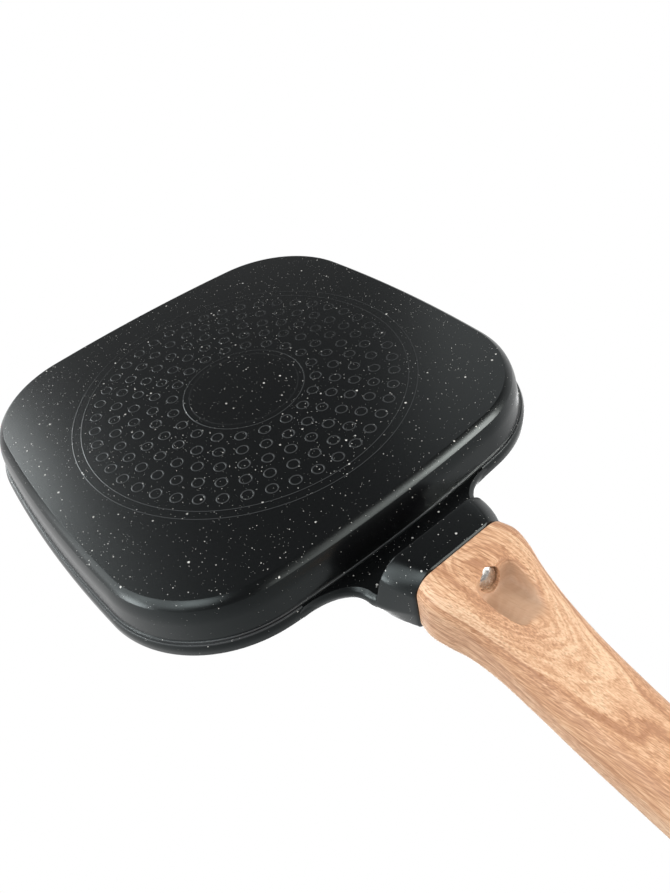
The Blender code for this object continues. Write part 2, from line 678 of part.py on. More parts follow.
def make_washers(group, cutters, material):
    """The spring washer under the head, and the flat washer on the bore's floor."""
    hole = SHANK_RADIUS + CLEARANCE
    lock_low = head_seat() - CLEARANCE - LOCK_WASHER_THICKNESS
    section = (
        (LOCK_WASHER_RADIUS, LOCK_WASHER_THICKNESS), (LOCK_WASHER_RADIUS, 0.0),
        (hole, 0.0), (hole, LOCK_WASHER_THICKNESS),
    )
    lock = turned("lock_washer", section, group, screw_frame(lock_low), SCREW_STEPS)
    lock.data.materials.append(material)
    split_size = (LOCK_WASHER_RADIUS * 2, LOCK_WASHER_GAP, LOCK_WASHER_THICKNESS * 3)
    split_place = screw_frame(lock_low) @ Matrix.Translation((LOCK_WASHER_RADIUS, 0, 0))
    split_place @= Matrix.Rotation(math.radians(15), 4, "X")
    combine(lock, hide_cutter(box("split", split_size, cutters, split_place)), "DIFFERENCE")
    flat_low = lock_low - CLEARANCE - WASHER_THICKNESS
    section = (
        (WASHER_RADIUS, WASHER_THICKNESS), (WASHER_RADIUS, 0.0), (hole, 0.0), (hole, WASHER_THICKNESS)
    )
    flat = turned("flat_washer", section, group, screw_frame(flat_low), SCREW_STEPS)
    flat.data.materials.append(material)


def main():
    clear_scene()
    pan = new_collection("square_grill_pan")
    cutters = new_collection("cutters")
    coated = new_material("coated_aluminium", (0.035, 0.038, 0.042), 0.45, 0.0)
    steel = new_material("magnetic_steel", (0.09, 0.09, 0.095), 0.5, 0.6)
    wood = new_material("wood_grain_grip", (0.76, 0.53, 0.36), 0.5, 0.0)
    bright = new_material("plated_steel", (0.72, 0.72, 0.7), 0.25, 1.0)
    make_body(pan, cutters, coated)
    make_plate(pan, steel)
    make_handle(pan, cutters, wood)
    make_screw(pan, cutters, bright)
    make_washers(pan, cutters, bright)


main()
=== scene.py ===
"""Square grill pan with a wood-grain handle, seen from beneath as the photograph shows it."""
import math

import bpy
import numpy as np
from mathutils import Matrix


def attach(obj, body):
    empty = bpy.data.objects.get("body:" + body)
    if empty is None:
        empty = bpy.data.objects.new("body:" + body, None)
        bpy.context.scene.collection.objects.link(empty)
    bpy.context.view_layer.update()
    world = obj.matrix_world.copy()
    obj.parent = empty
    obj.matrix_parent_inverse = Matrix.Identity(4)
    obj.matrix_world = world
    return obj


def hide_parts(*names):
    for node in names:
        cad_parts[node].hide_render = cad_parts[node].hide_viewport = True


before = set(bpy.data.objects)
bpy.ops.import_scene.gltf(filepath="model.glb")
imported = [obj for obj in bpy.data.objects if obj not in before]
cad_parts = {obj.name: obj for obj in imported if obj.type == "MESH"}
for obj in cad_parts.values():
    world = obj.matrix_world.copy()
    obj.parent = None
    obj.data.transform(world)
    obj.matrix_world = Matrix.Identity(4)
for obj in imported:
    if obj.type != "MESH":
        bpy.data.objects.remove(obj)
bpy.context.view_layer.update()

MM = 0.001

# Bowl's outline at the base's edge, and the radius by which the wall would turn into the base
BASE_HALF = 116.2 * MM
CORNER = 57.6 * MM
SIDE_BOW = 709.0 * MM
BASE_EDGE = 8.1 * MM
DRAFT = math.radians(7.0)

# Bevel between base and wall: its two creases, and the degrees by which it bows and by which the
# wall leans at the outer crease
BEVEL_IN = 5.1 * MM
BEVEL_OUT = 1.75 * MM
BEVEL_Z = 3.1 * MM
BEVEL_BOW = 12.0
WALL_TURN = 26.0
CREASE_WIDTH = 0.12 * MM

# Wall's concave foot, ledge, flange and rim: how far out they stand, and their small rounds
FOOT_HEIGHT = 1.3 * MM
FOOT_OUT = 0.42 * MM
LEDGE_Z = 18.7 * MM
LEDGE_OUT = 1.9 * MM
LEDGE_EDGE = 0.35 * MM
FLANGE_Z = 19.8 * MM
BAND_OUT = 2.75 * MM
BAND_EDGE = 0.3 * MM
BAND_RADIUS = 6.2 * MM
BAND_HEIGHT = 3.6 * MM
BAND_TURN = 28.0
RIM_OUT = 3.7 * MM
RIM_EDGE = 0.8 * MM
RIM_IN = -1.2 * MM
RIM_IN_EDGE = 1.3 * MM
RIM_Z = 25.9 * MM
WALL = 3.2 * MM
FLOOR_Z = 4.6 * MM
FLOOR_EDGE = 7.0 * MM

# Ribs
RIB_COUNT = 13
RIB_PITCH = 14.6 * MM
RIB_HEIGHT = 3.2 * MM
RIB_WIDTH = 5.2 * MM
RIB_END = 7.0 * MM
RIB_MARGIN = 4.0 * MM
RIB_SINK = 0.6 * MM

# Underside: the coat's face lies a little above the lines that are raised on it
FACE_Z = 0.1 * MM
PLATE_IN = 31.5 * MM
PLATE_OUT = 85.5 * MM
PLATE_THICK = 0.8 * MM
PLATE_LIP = 0.3 * MM
RECESS_Z = 1.1 * MM
INNER_LINE = 28.6 * MM
INNER_LINE_CREST = 0.05 * MM
OUTER_LINE = 89.8 * MM
MARK_RADIUS = 2.85 * MM
MARK_ROWS = (20, 26, 32, 38, 44)
FIRST_ROW = 37.8 * MM
ROW_PITCH = 10.05 * MM

# How much the raised lines are lightened, from 0 to 1: partly wear, partly a painted highlight
LEDGE_WEAR_AND_HIGHLIGHT = 1.0
FLANGE_WEAR_AND_HIGHLIGHT = 0.9
MARK_WEAR_AND_HIGHLIGHT = 0.55
LINE_WEAR_AND_HIGHLIGHT = 0.5
INNER_LINE_WEAR_AND_HIGHLIGHT = 0.15
LIP_WEAR_AND_HIGHLIGHT = 0.12

# Neck
NECK_END = 152.5 * MM
NECK_END_HALF = 24.2 * MM
NECK_RISE = 7.1 * MM
BLOCK_FRONT = 136.8 * MM
BLOCK_FRONT_EDGE = 0.9 * MM
BLOCK_ROOT = 3.0 * MM
BLOCK_LOW = 2.2 * MM
LIP = 0.8 * MM
FLANGE_INSET = 3.6 * MM

# The two sides of the neck. The flare starts at tip_half from the middle line and runs its length
# to root_half, and taper is the power of the narrowing after it. The top draws in by top_inset (mm)
# at the flare's tip, at INSET_PLACES (mm) and at the joint, and the widest line runs at waist_z.
# The block's half widths in front and at the joint and the radius of its lower edge follow.
INSET_PLACES = (131, 137, 143, 148)
NEAR_SIDE = {
    "tip_half": 58.8 * MM, "length": 15.1 * MM, "root_half": 34.3 * MM, "taper": 1.41,
    "top_inset": (2.3, 2.3, 3.0, 2.5, 1.5, 0.0), "waist_z": 22.4 * MM,
    "block_half": 26.9 * MM, "block_end": 23.9 * MM, "block_edge": 10.0 * MM,
}
FAR_SIDE = {
    "tip_half": 54.0 * MM, "length": 14.2 * MM, "root_half": 34.8 * MM, "taper": 2.24,
    "top_inset": (1.9, 1.9, 2.6, 2.2, 1.2, 0.0), "waist_z": 22.3 * MM,
    "block_half": 25.8 * MM, "block_end": 24.2 * MM, "block_edge": 8.4 * MM,
}

# Handle: distance from the neck, half width, height of the middle, half thickness, lower edge
HANDLE = np.array((
    (0.0, 24.2, 18.1, 15.9, 8.0),
    (7.0, 25.4, 18.0, 16.0, 8.0),
    (14.0, 24.2, 18.7, 15.6, 8.0),
    (23.0, 21.3, 20.8, 14.9, 8.0),
    (34.0, 19.4, 24.4, 14.0, 8.5),
    (50.0, 18.3, 30.1, 12.9, 9.0),
    (72.0, 17.7, 36.4, 12.3, 9.5),
    (98.0, 16.8, 41.8, 12.2, 9.5),
    (128.0, 16.2, 46.6, 12.4, 9.5),
    (156.0, 17.0, 50.4, 12.4, 9.5),
    (178.0, 17.4, 53.2, 11.75, 9.0),
)) * MM
HANDLE_LENGTH = 189.8 * MM
HANDLE_GAP = 0.3 * MM
HANDLE_FRONT_EDGE = 0.6 * MM

# Screw and its bore
SLOPE = math.radians(17.0)
BORE_X = 168.3 * MM
BORE_Z = 7.9 * MM
BORE_RADIUS = 5.4 * MM
BORE_PAST_SEAT = 5.1 * MM
HEAD_SINK = 0.3 * MM
HEAD_RADIUS = 5.1 * MM
HEAD_HEIGHT = 3.4 * MM
DOME_RADIUS = 10.5 * MM
SHANK_RADIUS = 2.5 * MM
SHANK_LENGTH = 29.0 * MM
POINT_RADIUS = 1.5 * MM
POINT_LENGTH = 1.3 * MM
AXIS_RADIUS = 0.01 * MM

# Wood: how the fibres lie askew of the handle
FIBRE_TURN = (0, 0, math.radians(11))

# World: its strength for soft light. Reflections see it brighten with the direction's height, from
# the ground's shade to white, and dim by VIEWER_SHADE towards +X.
AMBIENT = 0.25
GROUND_SHADE = {"From_Min": -0.55, "From_Max": 0.1, "To_Min": 0.1, "To_Max": 1.0}
VIEWER_SHADE = 0.6
WARM = (1.0, 0.95, 0.9)

# Camera: the photograph's size, focal length and principal point, in pixels
PHOTO = (670, 893)
FOCAL_LENGTH = 773.02
PRINCIPAL_POINT = (338.764, 440.372)


# Meshes

def body_from_faces(name, points, faces, sharp, marks=None, mark_name="rubbed"):
    """Make a smooth-shaded object from corner and face arrays, with its faces turned outwards.

    The volume is a sixth of the sum of each triangle's triple product: where it is negative,
    every face is turned round.
    """
    volume = 0.0
    for corners in faces:
        first = points[corners[:, 0]]
        for step in range(1, corners.shape[1] - 1):
            second, third = points[corners[:, step]], points[corners[:, step + 1]]
            volume += np.einsum("ij,ij->", first, np.cross(second, third))
    if volume < 0:
        faces = [corners[:, ::-1] for corners in faces]
    mesh = bpy.data.meshes.new(name)
    mesh.from_pydata(points.tolist(), [], [face for corners in faces for face in corners.tolist()])
    if marks is not None:
        layer = mesh.attributes.new(mark_name, "FLOAT", "POINT")
        layer.data.foreach_set("value", np.asarray(marks, dtype=np.float32))
    mesh.shade_smooth()
    mesh.set_sharp_from_angle(angle=math.radians(sharp))
    made = bpy.data.objects.new(name, mesh)
    bpy.context.scene.collection.objects.link(made)
    return made


def at_places(places, section):
    """Stand sections, an array (places, points, 2) of Y and Z, at their places along X."""
    across = np.broadcast_to(places[:, None, None], section.shape[:2] + (1,))
    return np.concatenate([across, section], -1)


def at_heights(loops, heights):
    """Lift flat loops, an array (loops, points, 2) of X and Y, to their heights."""
    height = np.broadcast_to(heights[:, None, None], loops.shape[:2] + (1,))
    return np.concatenate([loops, height], -1)


def skin(name, rings, sharp=35.0, marks=None, mark_name="rubbed"):
    """Close a stack of rings, an array (rings, points, 3), with quads and a fan at each end."""
    count, around = rings.shape[:2]
    points = np.concatenate([rings.reshape(-1, 3), rings[:1].mean(1), rings[-1:].mean(1)])
    row = np.arange(count - 1)[:, None] * around
    step = np.arange(around)[None, :]
    after = (step + 1) % around
    quads = np.stack([row + step, row + after, row + around + after, row + around + step], -1)
    low = np.stack([after[0], step[0], np.full(around, count * around)], -1)
    last = (count - 1) * around
    high = np.stack([last + step[0], last + after[0], np.full(around, count * around + 1)], -1)
    if marks is not None:
        marks = np.broadcast_to(marks.reshape(count, -1), (count, around)).reshape(-1)
        marks = np.concatenate([marks, marks[:1], marks[-1:]])
    return body_from_faces(name, points, [quads.reshape(-1, 4), low, high], sharp, marks, mark_name)


def loop_quads(count, across):
    """The quads of a tube that closes on itself: count rings, each of this many points."""
    row = np.arange(count)[:, None] * across
    step = np.arange(across)[None, :]
    after = (step + 1) % across
    below = (np.arange(count)[:, None] + 1) % count * across
    return np.stack([row + step, row + after, below + after, below + step], -1).reshape(-1, 4)


def wheel(name, section, around, sharp=35.0, marks=None):
    """Turn a closed (radius, height) section about Z: x = r cos a, y = r sin a, z = h."""
    angle = np.linspace(0, 2 * np.pi, around, endpoint=False)[:, None]
    radius, height = section[None, :, 0], section[None, :, 1]
    rings = np.stack([radius * np.cos(angle), radius * np.sin(angle), height + 0 * angle], -1)
    quads = loop_quads(*rings.shape[:2])
    if marks is not None:
        marks = np.tile(marks, around)
    return body_from_faces(name, rings.reshape(-1, 3), [quads], sharp, marks)


def join_as(name, pieces, sharp):
    """Gather finished meshes in one object."""
    points, faces, start = [], [], 0
    for piece in pieces:
        mesh = piece.data
        corners = np.empty(len(mesh.vertices) * 3)
        mesh.vertices.foreach_get("co", corners)
        points.append(corners.reshape(-1, 3))
        faces += [[start + v for v in face.vertices] for face in mesh.polygons]
        start += len(mesh.vertices)
        bpy.data.objects.remove(piece, do_unlink=True)
    mesh = bpy.data.meshes.new(name)
    mesh.from_pydata(np.concatenate(points).tolist(), [], faces)
    mesh.shade_smooth()
    mesh.set_sharp_from_angle(angle=math.radians(sharp))
    made = bpy.data.objects.new(name, mesh)
    bpy.context.scene.collection.objects.link(made)
    return made


def arc(centre, radius, start, end, steps):
    """Points on a circle from one angle in degrees to another."""
    angle = np.radians(np.linspace(start, end, steps + 1))
    return np.stack([centre[0] + radius * np.cos(angle), centre[1] + radius * np.sin(angle)], -1)


def round_corner(before, corner, after, radius, steps, bulge=1.0):
    """Round a corner of a path by a circle, for many paths at once: arrays (paths, 2).

    With unit vectors a and b from the corner along its sides and h half the angle between them,
    the arc starts and ends r / tan h from the corner. It is the rational quadratic curve
    through start, corner and end whose middle weight is sin h. A bulge under 1 lowers that weight,
    which flattens the arc towards a chamfer.
    """
    a = before - corner
    b = after - corner
    a = a / np.linalg.norm(a, axis=1, keepdims=True)
    b = b / np.linalg.norm(b, axis=1, keepdims=True)
    half = np.arccos(np.clip((a * b).sum(1, keepdims=True), -1, 1)) / 2
    reach = radius[:, None] / np.tan(half)
    start, end = corner + a * reach, corner + b * reach
    s = np.linspace(0, 1, steps + 1)[None, :, None]
    weight = (np.sin(half) * np.reshape(bulge, (-1, 1)))[:, None]
    first, middle, last = (1 - s) ** 2, 2 * s * (1 - s) * weight, s**2
    total = first + middle + last
    return (first * start[:, None] + middle * corner[:, None] + last * end[:, None]) / total


def smooth(share):
    """Ease from 0 to 1: 3 s^2 - 2 s^3 on the clipped share."""
    share = np.clip(share, 0, 1)
    return share**2 * (3 - 2 * share)


def through(table, places):
    """Read each column of a table at the places, by cubic pieces with central slopes."""
    x, y = table[:, 0], table[:, 1:]
    slope = np.gradient(y, x, axis=0)
    index = np.clip(np.searchsorted(x, places, side="right") - 1, 0, len(x) - 2)
    span = (x[index + 1] - x[index])[:, None]
    s = ((places - x[index]) / span[:, 0])[:, None]
    value = (2 * s**3 - 3 * s**2 + 1) * y[index] + (3 * s**2 - 2 * s**3) * y[index + 1]
    return value + span * ((s**3 - 2 * s**2 + s) * slope[index] + (s**3 - s**2) * slope[index + 1])


# Bowl

def corner_place():
    """Where a corner's arc is centred, (c, c), and how far past the middle a side's arc is, S - H.

    The two arcs are tangent where (c + S - H)^2 + c^2 = (S - R)^2.
    """
    shift = SIDE_BOW - BASE_HALF
    reach = SIDE_BOW - CORNER
    return (-2 * shift + math.sqrt(4 * shift**2 - 8 * (shift**2 - reach**2))) / 4, shift


def bowl_outline(side_steps=40, corner_steps=88):
    """The outline at the base's edge and its outward normals, each (points, 2).

    A side is an arc of radius S about (H - S, 0) and a corner an arc of radius R about (c, c).
    A parallel outline is outline + t * normal.
    """
    place, shift = corner_place()
    turn = math.atan2(place, place + shift)
    side = np.linspace(-turn, turn, side_steps, endpoint=False)
    bend = np.linspace(turn, math.pi / 2 - turn, corner_steps, endpoint=False)
    normals = np.concatenate([side, bend])
    normals = np.stack([np.cos(normals), np.sin(normals)], -1)
    points = normals * np.repeat([SIDE_BOW, CORNER], [side_steps, corner_steps])[:, None]
    points[:side_steps, 0] -= shift
    points[side_steps:] += place
    quarter = np.array([[0, 1], [-1, 0]])
    turns = [np.linalg.matrix_power(quarter, k) for k in range(4)]
    return np.concatenate([points @ q for q in turns]), np.concatenate([normals @ q for q in turns])


def chord(out, across):
    """X of the parallel outline at a distance from the middle line, on a side's or corner's arc."""
    place, shift = corner_place()
    across = np.abs(across)
    side = np.sqrt(np.maximum((SIDE_BOW + out) ** 2 - across**2, 0)) - shift
    corner = place + np.sqrt(np.maximum((CORNER + out) ** 2 - (across - place) ** 2, 0))
    return np.where(across < place, side, corner)


def wall_out(height):
    """How far the drafted wall stands past the base's edge at a height."""
    foot = BASE_EDGE * (math.cos(DRAFT) - 1)
    return foot + math.tan(DRAFT) * (height - BASE_EDGE * (1 - math.sin(DRAFT)))


def raised_line(radius, half_width, crest=0.0):
    """A low ridge of the underside, as (radius, height) points, from the face down to its crest.

    The height is face + (crest - face) cos(s pi / 2)^1.5 for s from -1 to 1 across it. A point
    just past each foot keeps the face beside the ridge flat.
    """
    s = np.concatenate([[-1.25], np.linspace(-1, 1, 9), [1.25]])
    wave = np.cos(np.clip(s, -1, 1) * np.pi / 2) ** 1.5
    return np.stack([radius + half_width * s, FACE_Z + (crest - FACE_Z) * wave], -1)


def bevel_and_turn():
    """The base's bevel with a crease at each end, and the wall's turn: (outward, height) points.

    The bevel is an arc through its two creases whose ends turn by the bow either way from the
    chord c, so that its radius is c / (2 sin bow). From the outer crease an arc turns up from the
    lean t to the draft d: its radius r takes it just to the wall,
    r (cos d - cos t) = wall_out(z + r (sin t - sin d)) - out.
    A point close to each crease keeps the shading of the crease narrow.
    """
    start, end = np.array([-BEVEL_IN, FACE_Z]), np.array([-BEVEL_OUT, BEVEL_Z])
    chord_angle = math.degrees(math.atan2(*(end - start)[::-1]))
    radius = np.linalg.norm(end - start) / (2 * math.sin(math.radians(BEVEL_BOW)))
    first = chord_angle - BEVEL_BOW - 90
    toward = math.radians(first)
    centre = start - radius * np.array([math.cos(toward), math.sin(toward)])
    bevel = arc(centre, radius, first, first + 2 * BEVEL_BOW, 10)
    turn = math.radians(WALL_TURN)
    gap = wall_out(BEVEL_Z) + BEVEL_OUT
    lean = math.tan(DRAFT) * (math.sin(turn) - math.sin(DRAFT))
    radius = gap / (math.cos(DRAFT) - math.cos(turn) - lean)
    centre = end - radius * np.array([math.cos(turn), -math.sin(turn)])
    wall = arc(centre, radius, -WALL_TURN, -math.degrees(DRAFT), 10)

    def beside(crease, neighbour, share):
        return [crease + (neighbour - crease) * share]

    return np.concatenate([
        [start - (CREASE_WIDTH, 0)], bevel[:1], beside(bevel[0], bevel[1], 0.12), bevel[1:-1],
        beside(end, bevel[-2], 0.15), [end], beside(end, wall[1], 0.15), wall[1:],
    ])


def base_rings():
    """The round rings of the underside, (radius, height): disc, plate's seat and both lines."""
    gap = 0.05 * MM
    return np.concatenate([
        [(4 * MM, FACE_Z), (16 * MM, FACE_Z)],
        raised_line(INNER_LINE, 0.25 * MM, INNER_LINE_CREST),
        [(PLATE_IN - 6 * gap, FACE_Z), (PLATE_IN - gap, FACE_Z)],
        [(PLATE_IN - 0.8 * gap, RECESS_Z), (PLATE_OUT + 0.8 * gap, RECESS_Z)],
        [(PLATE_OUT + gap, FACE_Z), (PLATE_OUT + 6 * gap, FACE_Z)],
        raised_line(OUTER_LINE, 0.3 * MM),
        [(OUTER_LINE + 2 * MM, FACE_Z)],
    ])


def concave_foot():
    """The quarter ellipse by which the wall turns out to the ledge, as (outward, height) points."""
    foot = LEDGE_Z - FOOT_HEIGHT
    before = foot - 0.6 * MM
    turn = np.linspace(0, math.pi / 2, 6)
    curve = [wall_out(foot) + FOOT_OUT * (1 - np.cos(turn)), foot + FOOT_HEIGHT * np.sin(turn)]
    return np.concatenate([[(wall_out(before), before)], np.stack(curve, -1)])


def ledge_and_flange():
    """The ledge with its round edge, the groove over it and the flange's lower edge.

    Gives the (outward, height) points, and how much each one is lightened: partly wear, partly a
    painted highlight.
    """
    parts = (
        (0.0, [(LEDGE_OUT - 0.45 * MM, LEDGE_Z)]),
        (LEDGE_WEAR_AND_HIGHLIGHT, arc((LEDGE_OUT - LEDGE_EDGE, LEDGE_Z + LEDGE_EDGE), LEDGE_EDGE, -90, 0, 6)),
        (0.0, [(LEDGE_OUT, FLANGE_Z - 0.1 * MM), (LEDGE_OUT + 0.12 * MM, FLANGE_Z)]),
        (FLANGE_WEAR_AND_HIGHLIGHT, [(BAND_OUT - 0.42 * MM, FLANGE_Z)]),
        (FLANGE_WEAR_AND_HIGHLIGHT,
         arc((BAND_OUT - BAND_EDGE, FLANGE_Z + BAND_EDGE), BAND_EDGE, -90, -BAND_TURN, 4)),
    )
    marks = np.repeat([mark for mark, _ in parts], [len(points) for _, points in parts])
    return np.concatenate([points for _, points in parts]), marks


def bowl():
    """The cast bowl: rings round the underside, up the wall, over the rim and down inside."""
    edge, normal = bowl_outline()
    angle = np.arctan2(edge[:, 1], edge[:, 0])
    disc = base_rings()
    circle = np.stack([np.cos(angle), np.sin(angle)], -1)
    under = at_heights(disc[:, 0, None, None] * circle, disc[:, 1])
    inset = WALL / math.cos(DRAFT)
    low = np.concatenate([[(-12 * MM, FACE_Z)], bevel_and_turn(), concave_foot()])
    edges, edge_marks = ledge_and_flange()
    band = arc((RIM_OUT - BAND_RADIUS, FLANGE_Z + BAND_HEIGHT), BAND_RADIUS, -BAND_TURN, 0, 5)
    upper = arc((RIM_OUT - RIM_EDGE, RIM_Z - RIM_EDGE), RIM_EDGE, 0, 90, 8)
    inner = arc((RIM_IN + RIM_IN_EDGE, RIM_Z - RIM_IN_EDGE), RIM_IN_EDGE, 90, 180, 8)
    wall = np.array([(wall_out(h) - inset, h) for h in (RIM_Z - 2 * RIM_IN_EDGE, 20 * MM)])
    floor_top = FLOOR_Z + FLOOR_EDGE * (1 - math.sin(DRAFT))
    floor_place = wall_out(floor_top) - inset - FLOOR_EDGE * math.cos(DRAFT)
    floor = arc((floor_place, FLOOR_Z + FLOOR_EDGE), FLOOR_EDGE, -math.degrees(DRAFT), -90, 12)
    profile = np.concatenate([low, edges, band, upper, inner, wall, floor])
    side = at_heights(edge[None] + profile[:, 0, None, None] * normal[None], profile[:, 1])
    inside = side[-1:] * np.array([1, 1, 0]) * np.array([0.8, 0.5, 0.2, 0.03])[:, None, None]
    inside[:, :, 2] = FLOOR_Z
    rings = np.concatenate([under, side, inside])
    marks = np.zeros(len(rings))
    # The raised lines take a lighter mark: partly wear, partly a painted highlight.
    line = np.where(disc[:, 0] < PLATE_IN - 1.5 * MM, INNER_LINE_WEAR_AND_HIGHLIGHT, LINE_WEAR_AND_HIGHLIGHT)
    marks[:len(disc)] = line * (disc[:, 1] < 0.6 * FACE_Z)
    first = len(disc) + len(low)
    marks[first:first + len(edges)] = edge_marks
    return skin("pan_bowl", rings, sharp=50.0, marks=marks)


def ribs():
    """Raised ribs of the cooking floor, one body each, joined as one piece.

    Across a rib the height is h (1 - |s|^3.2)^(1/2) for s from -1 to 1, and its width and height
    ease to nothing over its last few millimetres as (1 - (1 - d)^2)^(1/2), d the share of them.
    """
    s = np.linspace(-1, 1, 17)
    end_share = 0.04
    near_end = np.linspace(0, 1, 9)[:-1] ** 1.5 * end_share
    along = np.concatenate([near_end, np.linspace(end_share, 1 - end_share, 6)])
    along = np.concatenate([along, 1 - near_end[::-1]])
    floor_out = wall_out(FLOOR_Z + FLOOR_EDGE) - WALL - FLOOR_EDGE
    pieces = []
    for index in range(RIB_COUNT):
        middle = (index - (RIB_COUNT - 1) / 2) * RIB_PITCH
        half = float(chord(floor_out, middle)) - RIB_MARGIN
        x = (2 * along - 1) * half
        from_end = np.minimum(half - np.abs(x), RIB_END) / RIB_END
        ease = np.maximum(np.sqrt(np.clip(1 - (1 - from_end) ** 2, 0, 1)), 0.02)
        width = RIB_WIDTH / 2 * (0.45 + 0.55 * ease)
        y = middle + width[:, None] * s[None]
        crown = RIB_HEIGHT * np.sqrt(1 - np.abs(s) ** 3.2) * ease[:, None]
        top = at_places(x, np.stack([y, FLOOR_Z + crown], -1))
        base = top[:, ::-1][:, 1:-1].copy()
        base[:, :, 2] = FLOOR_Z - RIB_SINK
        pieces.append(skin(f"rib_{index}", np.concatenate([top, base], 1), sharp=60.0))
    return join_as("grill_ribs", pieces, sharp=60.0)


def steel_plate():
    """The pressed-in ring, with a fine raised lip at each of its edges."""
    inner = raised_line(PLATE_IN + PLATE_LIP, PLATE_LIP)
    outer = raised_line(PLATE_OUT - PLATE_LIP, PLATE_LIP)
    middle = np.array([(PLATE_IN + 12 * MM, FACE_Z), (PLATE_OUT - 12 * MM, FACE_Z)])
    back = np.array([(PLATE_OUT, PLATE_THICK), (PLATE_IN, PLATE_THICK)])
    section = np.concatenate([inner, middle, outer, back])
    # The plate's lips take a lighter mark: partly wear, partly a painted highlight.
    marks = LINE_WEAR_AND_HIGHLIGHT * (section[:, 1] < 0.6 * FACE_Z)
    return wheel("steel_plate", section, 240, sharp=50.0, marks=marks)


def mark_centres():
    """Centres of the marks, row by row, each row with one on +Y."""
    rows = []
    for row, count in enumerate(MARK_ROWS):
        angle = np.pi / 2 + 2 * np.pi * np.arange(count) / count
        rows.append((FIRST_ROW + row * ROW_PITCH) * np.stack([np.cos(angle), np.sin(angle)], -1))
    return np.concatenate(rows)


def stud_marks():
    """A low round ring at each stud: a closed section of six points, turned about each centre.

    The section's points are (distance from the ring's middle line, height), in mm.
    """
    foot = FACE_Z / MM + 0.05
    section = np.array([
        (0.42, foot), (0.24, 0.025), (0, 0.0), (-0.24, 0.025), (-0.42, foot), (0, 0.3)
    ]) * MM
    around, across = 18, len(section)
    angle = np.linspace(0, 2 * np.pi, around, endpoint=False)
    radius = MARK_RADIUS + section[:, 0]
    ring = np.stack([
        np.cos(angle)[:, None] * radius, np.sin(angle)[:, None] * radius,
        np.broadcast_to(section[:, 1], (around, across)),
    ], -1)
    centres = mark_centres()
    points = np.repeat(ring[None], len(centres), 0)
    points[..., :2] += centres[:, None, None]
    starts = np.arange(len(centres))[:, None, None] * around * across
    quads = (loop_quads(around, across)[None] + starts).reshape(-1, 4)
    # The stud rings take a lighter mark: partly wear, partly a painted highlight.
    marks = np.full(points.size // 3, MARK_WEAR_AND_HIGHLIGHT)
    return body_from_faces("stud_marks", points.reshape(-1, 3), [quads], 80.0, marks)


# Neck

def neck_half(place, low, tip_half, length, root_half, taper, top_inset, waist_z,
              block_half, block_end, block_edge):
    """One side of the neck's sections, (places, points, 2), from the middle below to that on top.

    The waist, the widest line, runs out of the rim along a quarter ellipse and tapers as share^n
    to the joint. Under it the section draws in to the block, whose lower edge is flattened by the
    bulge, and above it to the rounded top. At the joint all of it draws in by a 45 degree lip.
    """
    tip = float(chord(RIM_OUT, tip_half))
    root = tip + length
    share = np.clip((root - place) / length, 0, 1)
    waist = root_half + (tip_half - root_half) * (1 - np.sqrt(1 - share**2))
    narrowing = np.clip((place - root) / (NECK_END - root), 0, 1)
    waist = waist + (NECK_END_HALF - root_half) * narrowing**taper
    block = np.clip((place - BLOCK_FRONT) / (NECK_END - BLOCK_FRONT), 0, 1)
    block = block_end + (block_half - block_end) * (1 - block**2.2)
    drop = np.clip((FLANGE_Z - low) / (FLANGE_Z - BLOCK_LOW), 0, 1)
    corner = waist - FLANGE_INSET
    corner = corner + (block - corner) * np.clip(drop * 1.3, 0, 1)
    stations = np.array([tip, *(np.array(INSET_PLACES) * MM), NECK_END])
    top_half = waist - np.interp(place, stations, np.array(top_inset) * MM)
    rim_place = float(chord(RIM_OUT, 0))
    rise = smooth(np.clip((place - rim_place) / (NECK_END - rim_place), 0, 1))
    top = RIM_Z + 0.04 * MM + NECK_RISE * rise
    front = np.clip((place - tip) / (NECK_END - tip), 0, 1)
    drawn_in = np.clip(place - (NECK_END - LIP), 0, LIP)
    waist, corner, top_half, top = (x - drawn_in for x in (waist, corner, top_half, top))
    low = low + drawn_in - 0.04 * MM * (drop == 0)
    floor = np.stack([0 * place, low], -1)
    lower = np.stack([corner, low], -1)
    widest = np.stack([waist, np.full_like(place, waist_z)], -1)
    upper = np.stack([top_half, top], -1)
    crown = np.stack([0 * place, top], -1)
    flange_edge = 0.45 * MM
    lower_radius = flange_edge + (block_edge - flange_edge) * drop**0.8
    return np.concatenate([
        floor[:, None] + (lower - floor)[:, None] * np.array([0.02, 0.35, 0.62])[None, :, None],
        round_corner(floor, lower, widest, lower_radius, 12, 1 - 0.55 * drop),
        round_corner(lower, widest, upper, 2.2 * MM + 6 * MM * rise, 6),
        round_corner(widest, upper, crown, 1.3 * MM + 2.2 * MM * front, 8),
        upper[:, None] + (crown - upper)[:, None] * np.array([0.4, 0.7, 0.98])[None, :, None],
    ], 1)


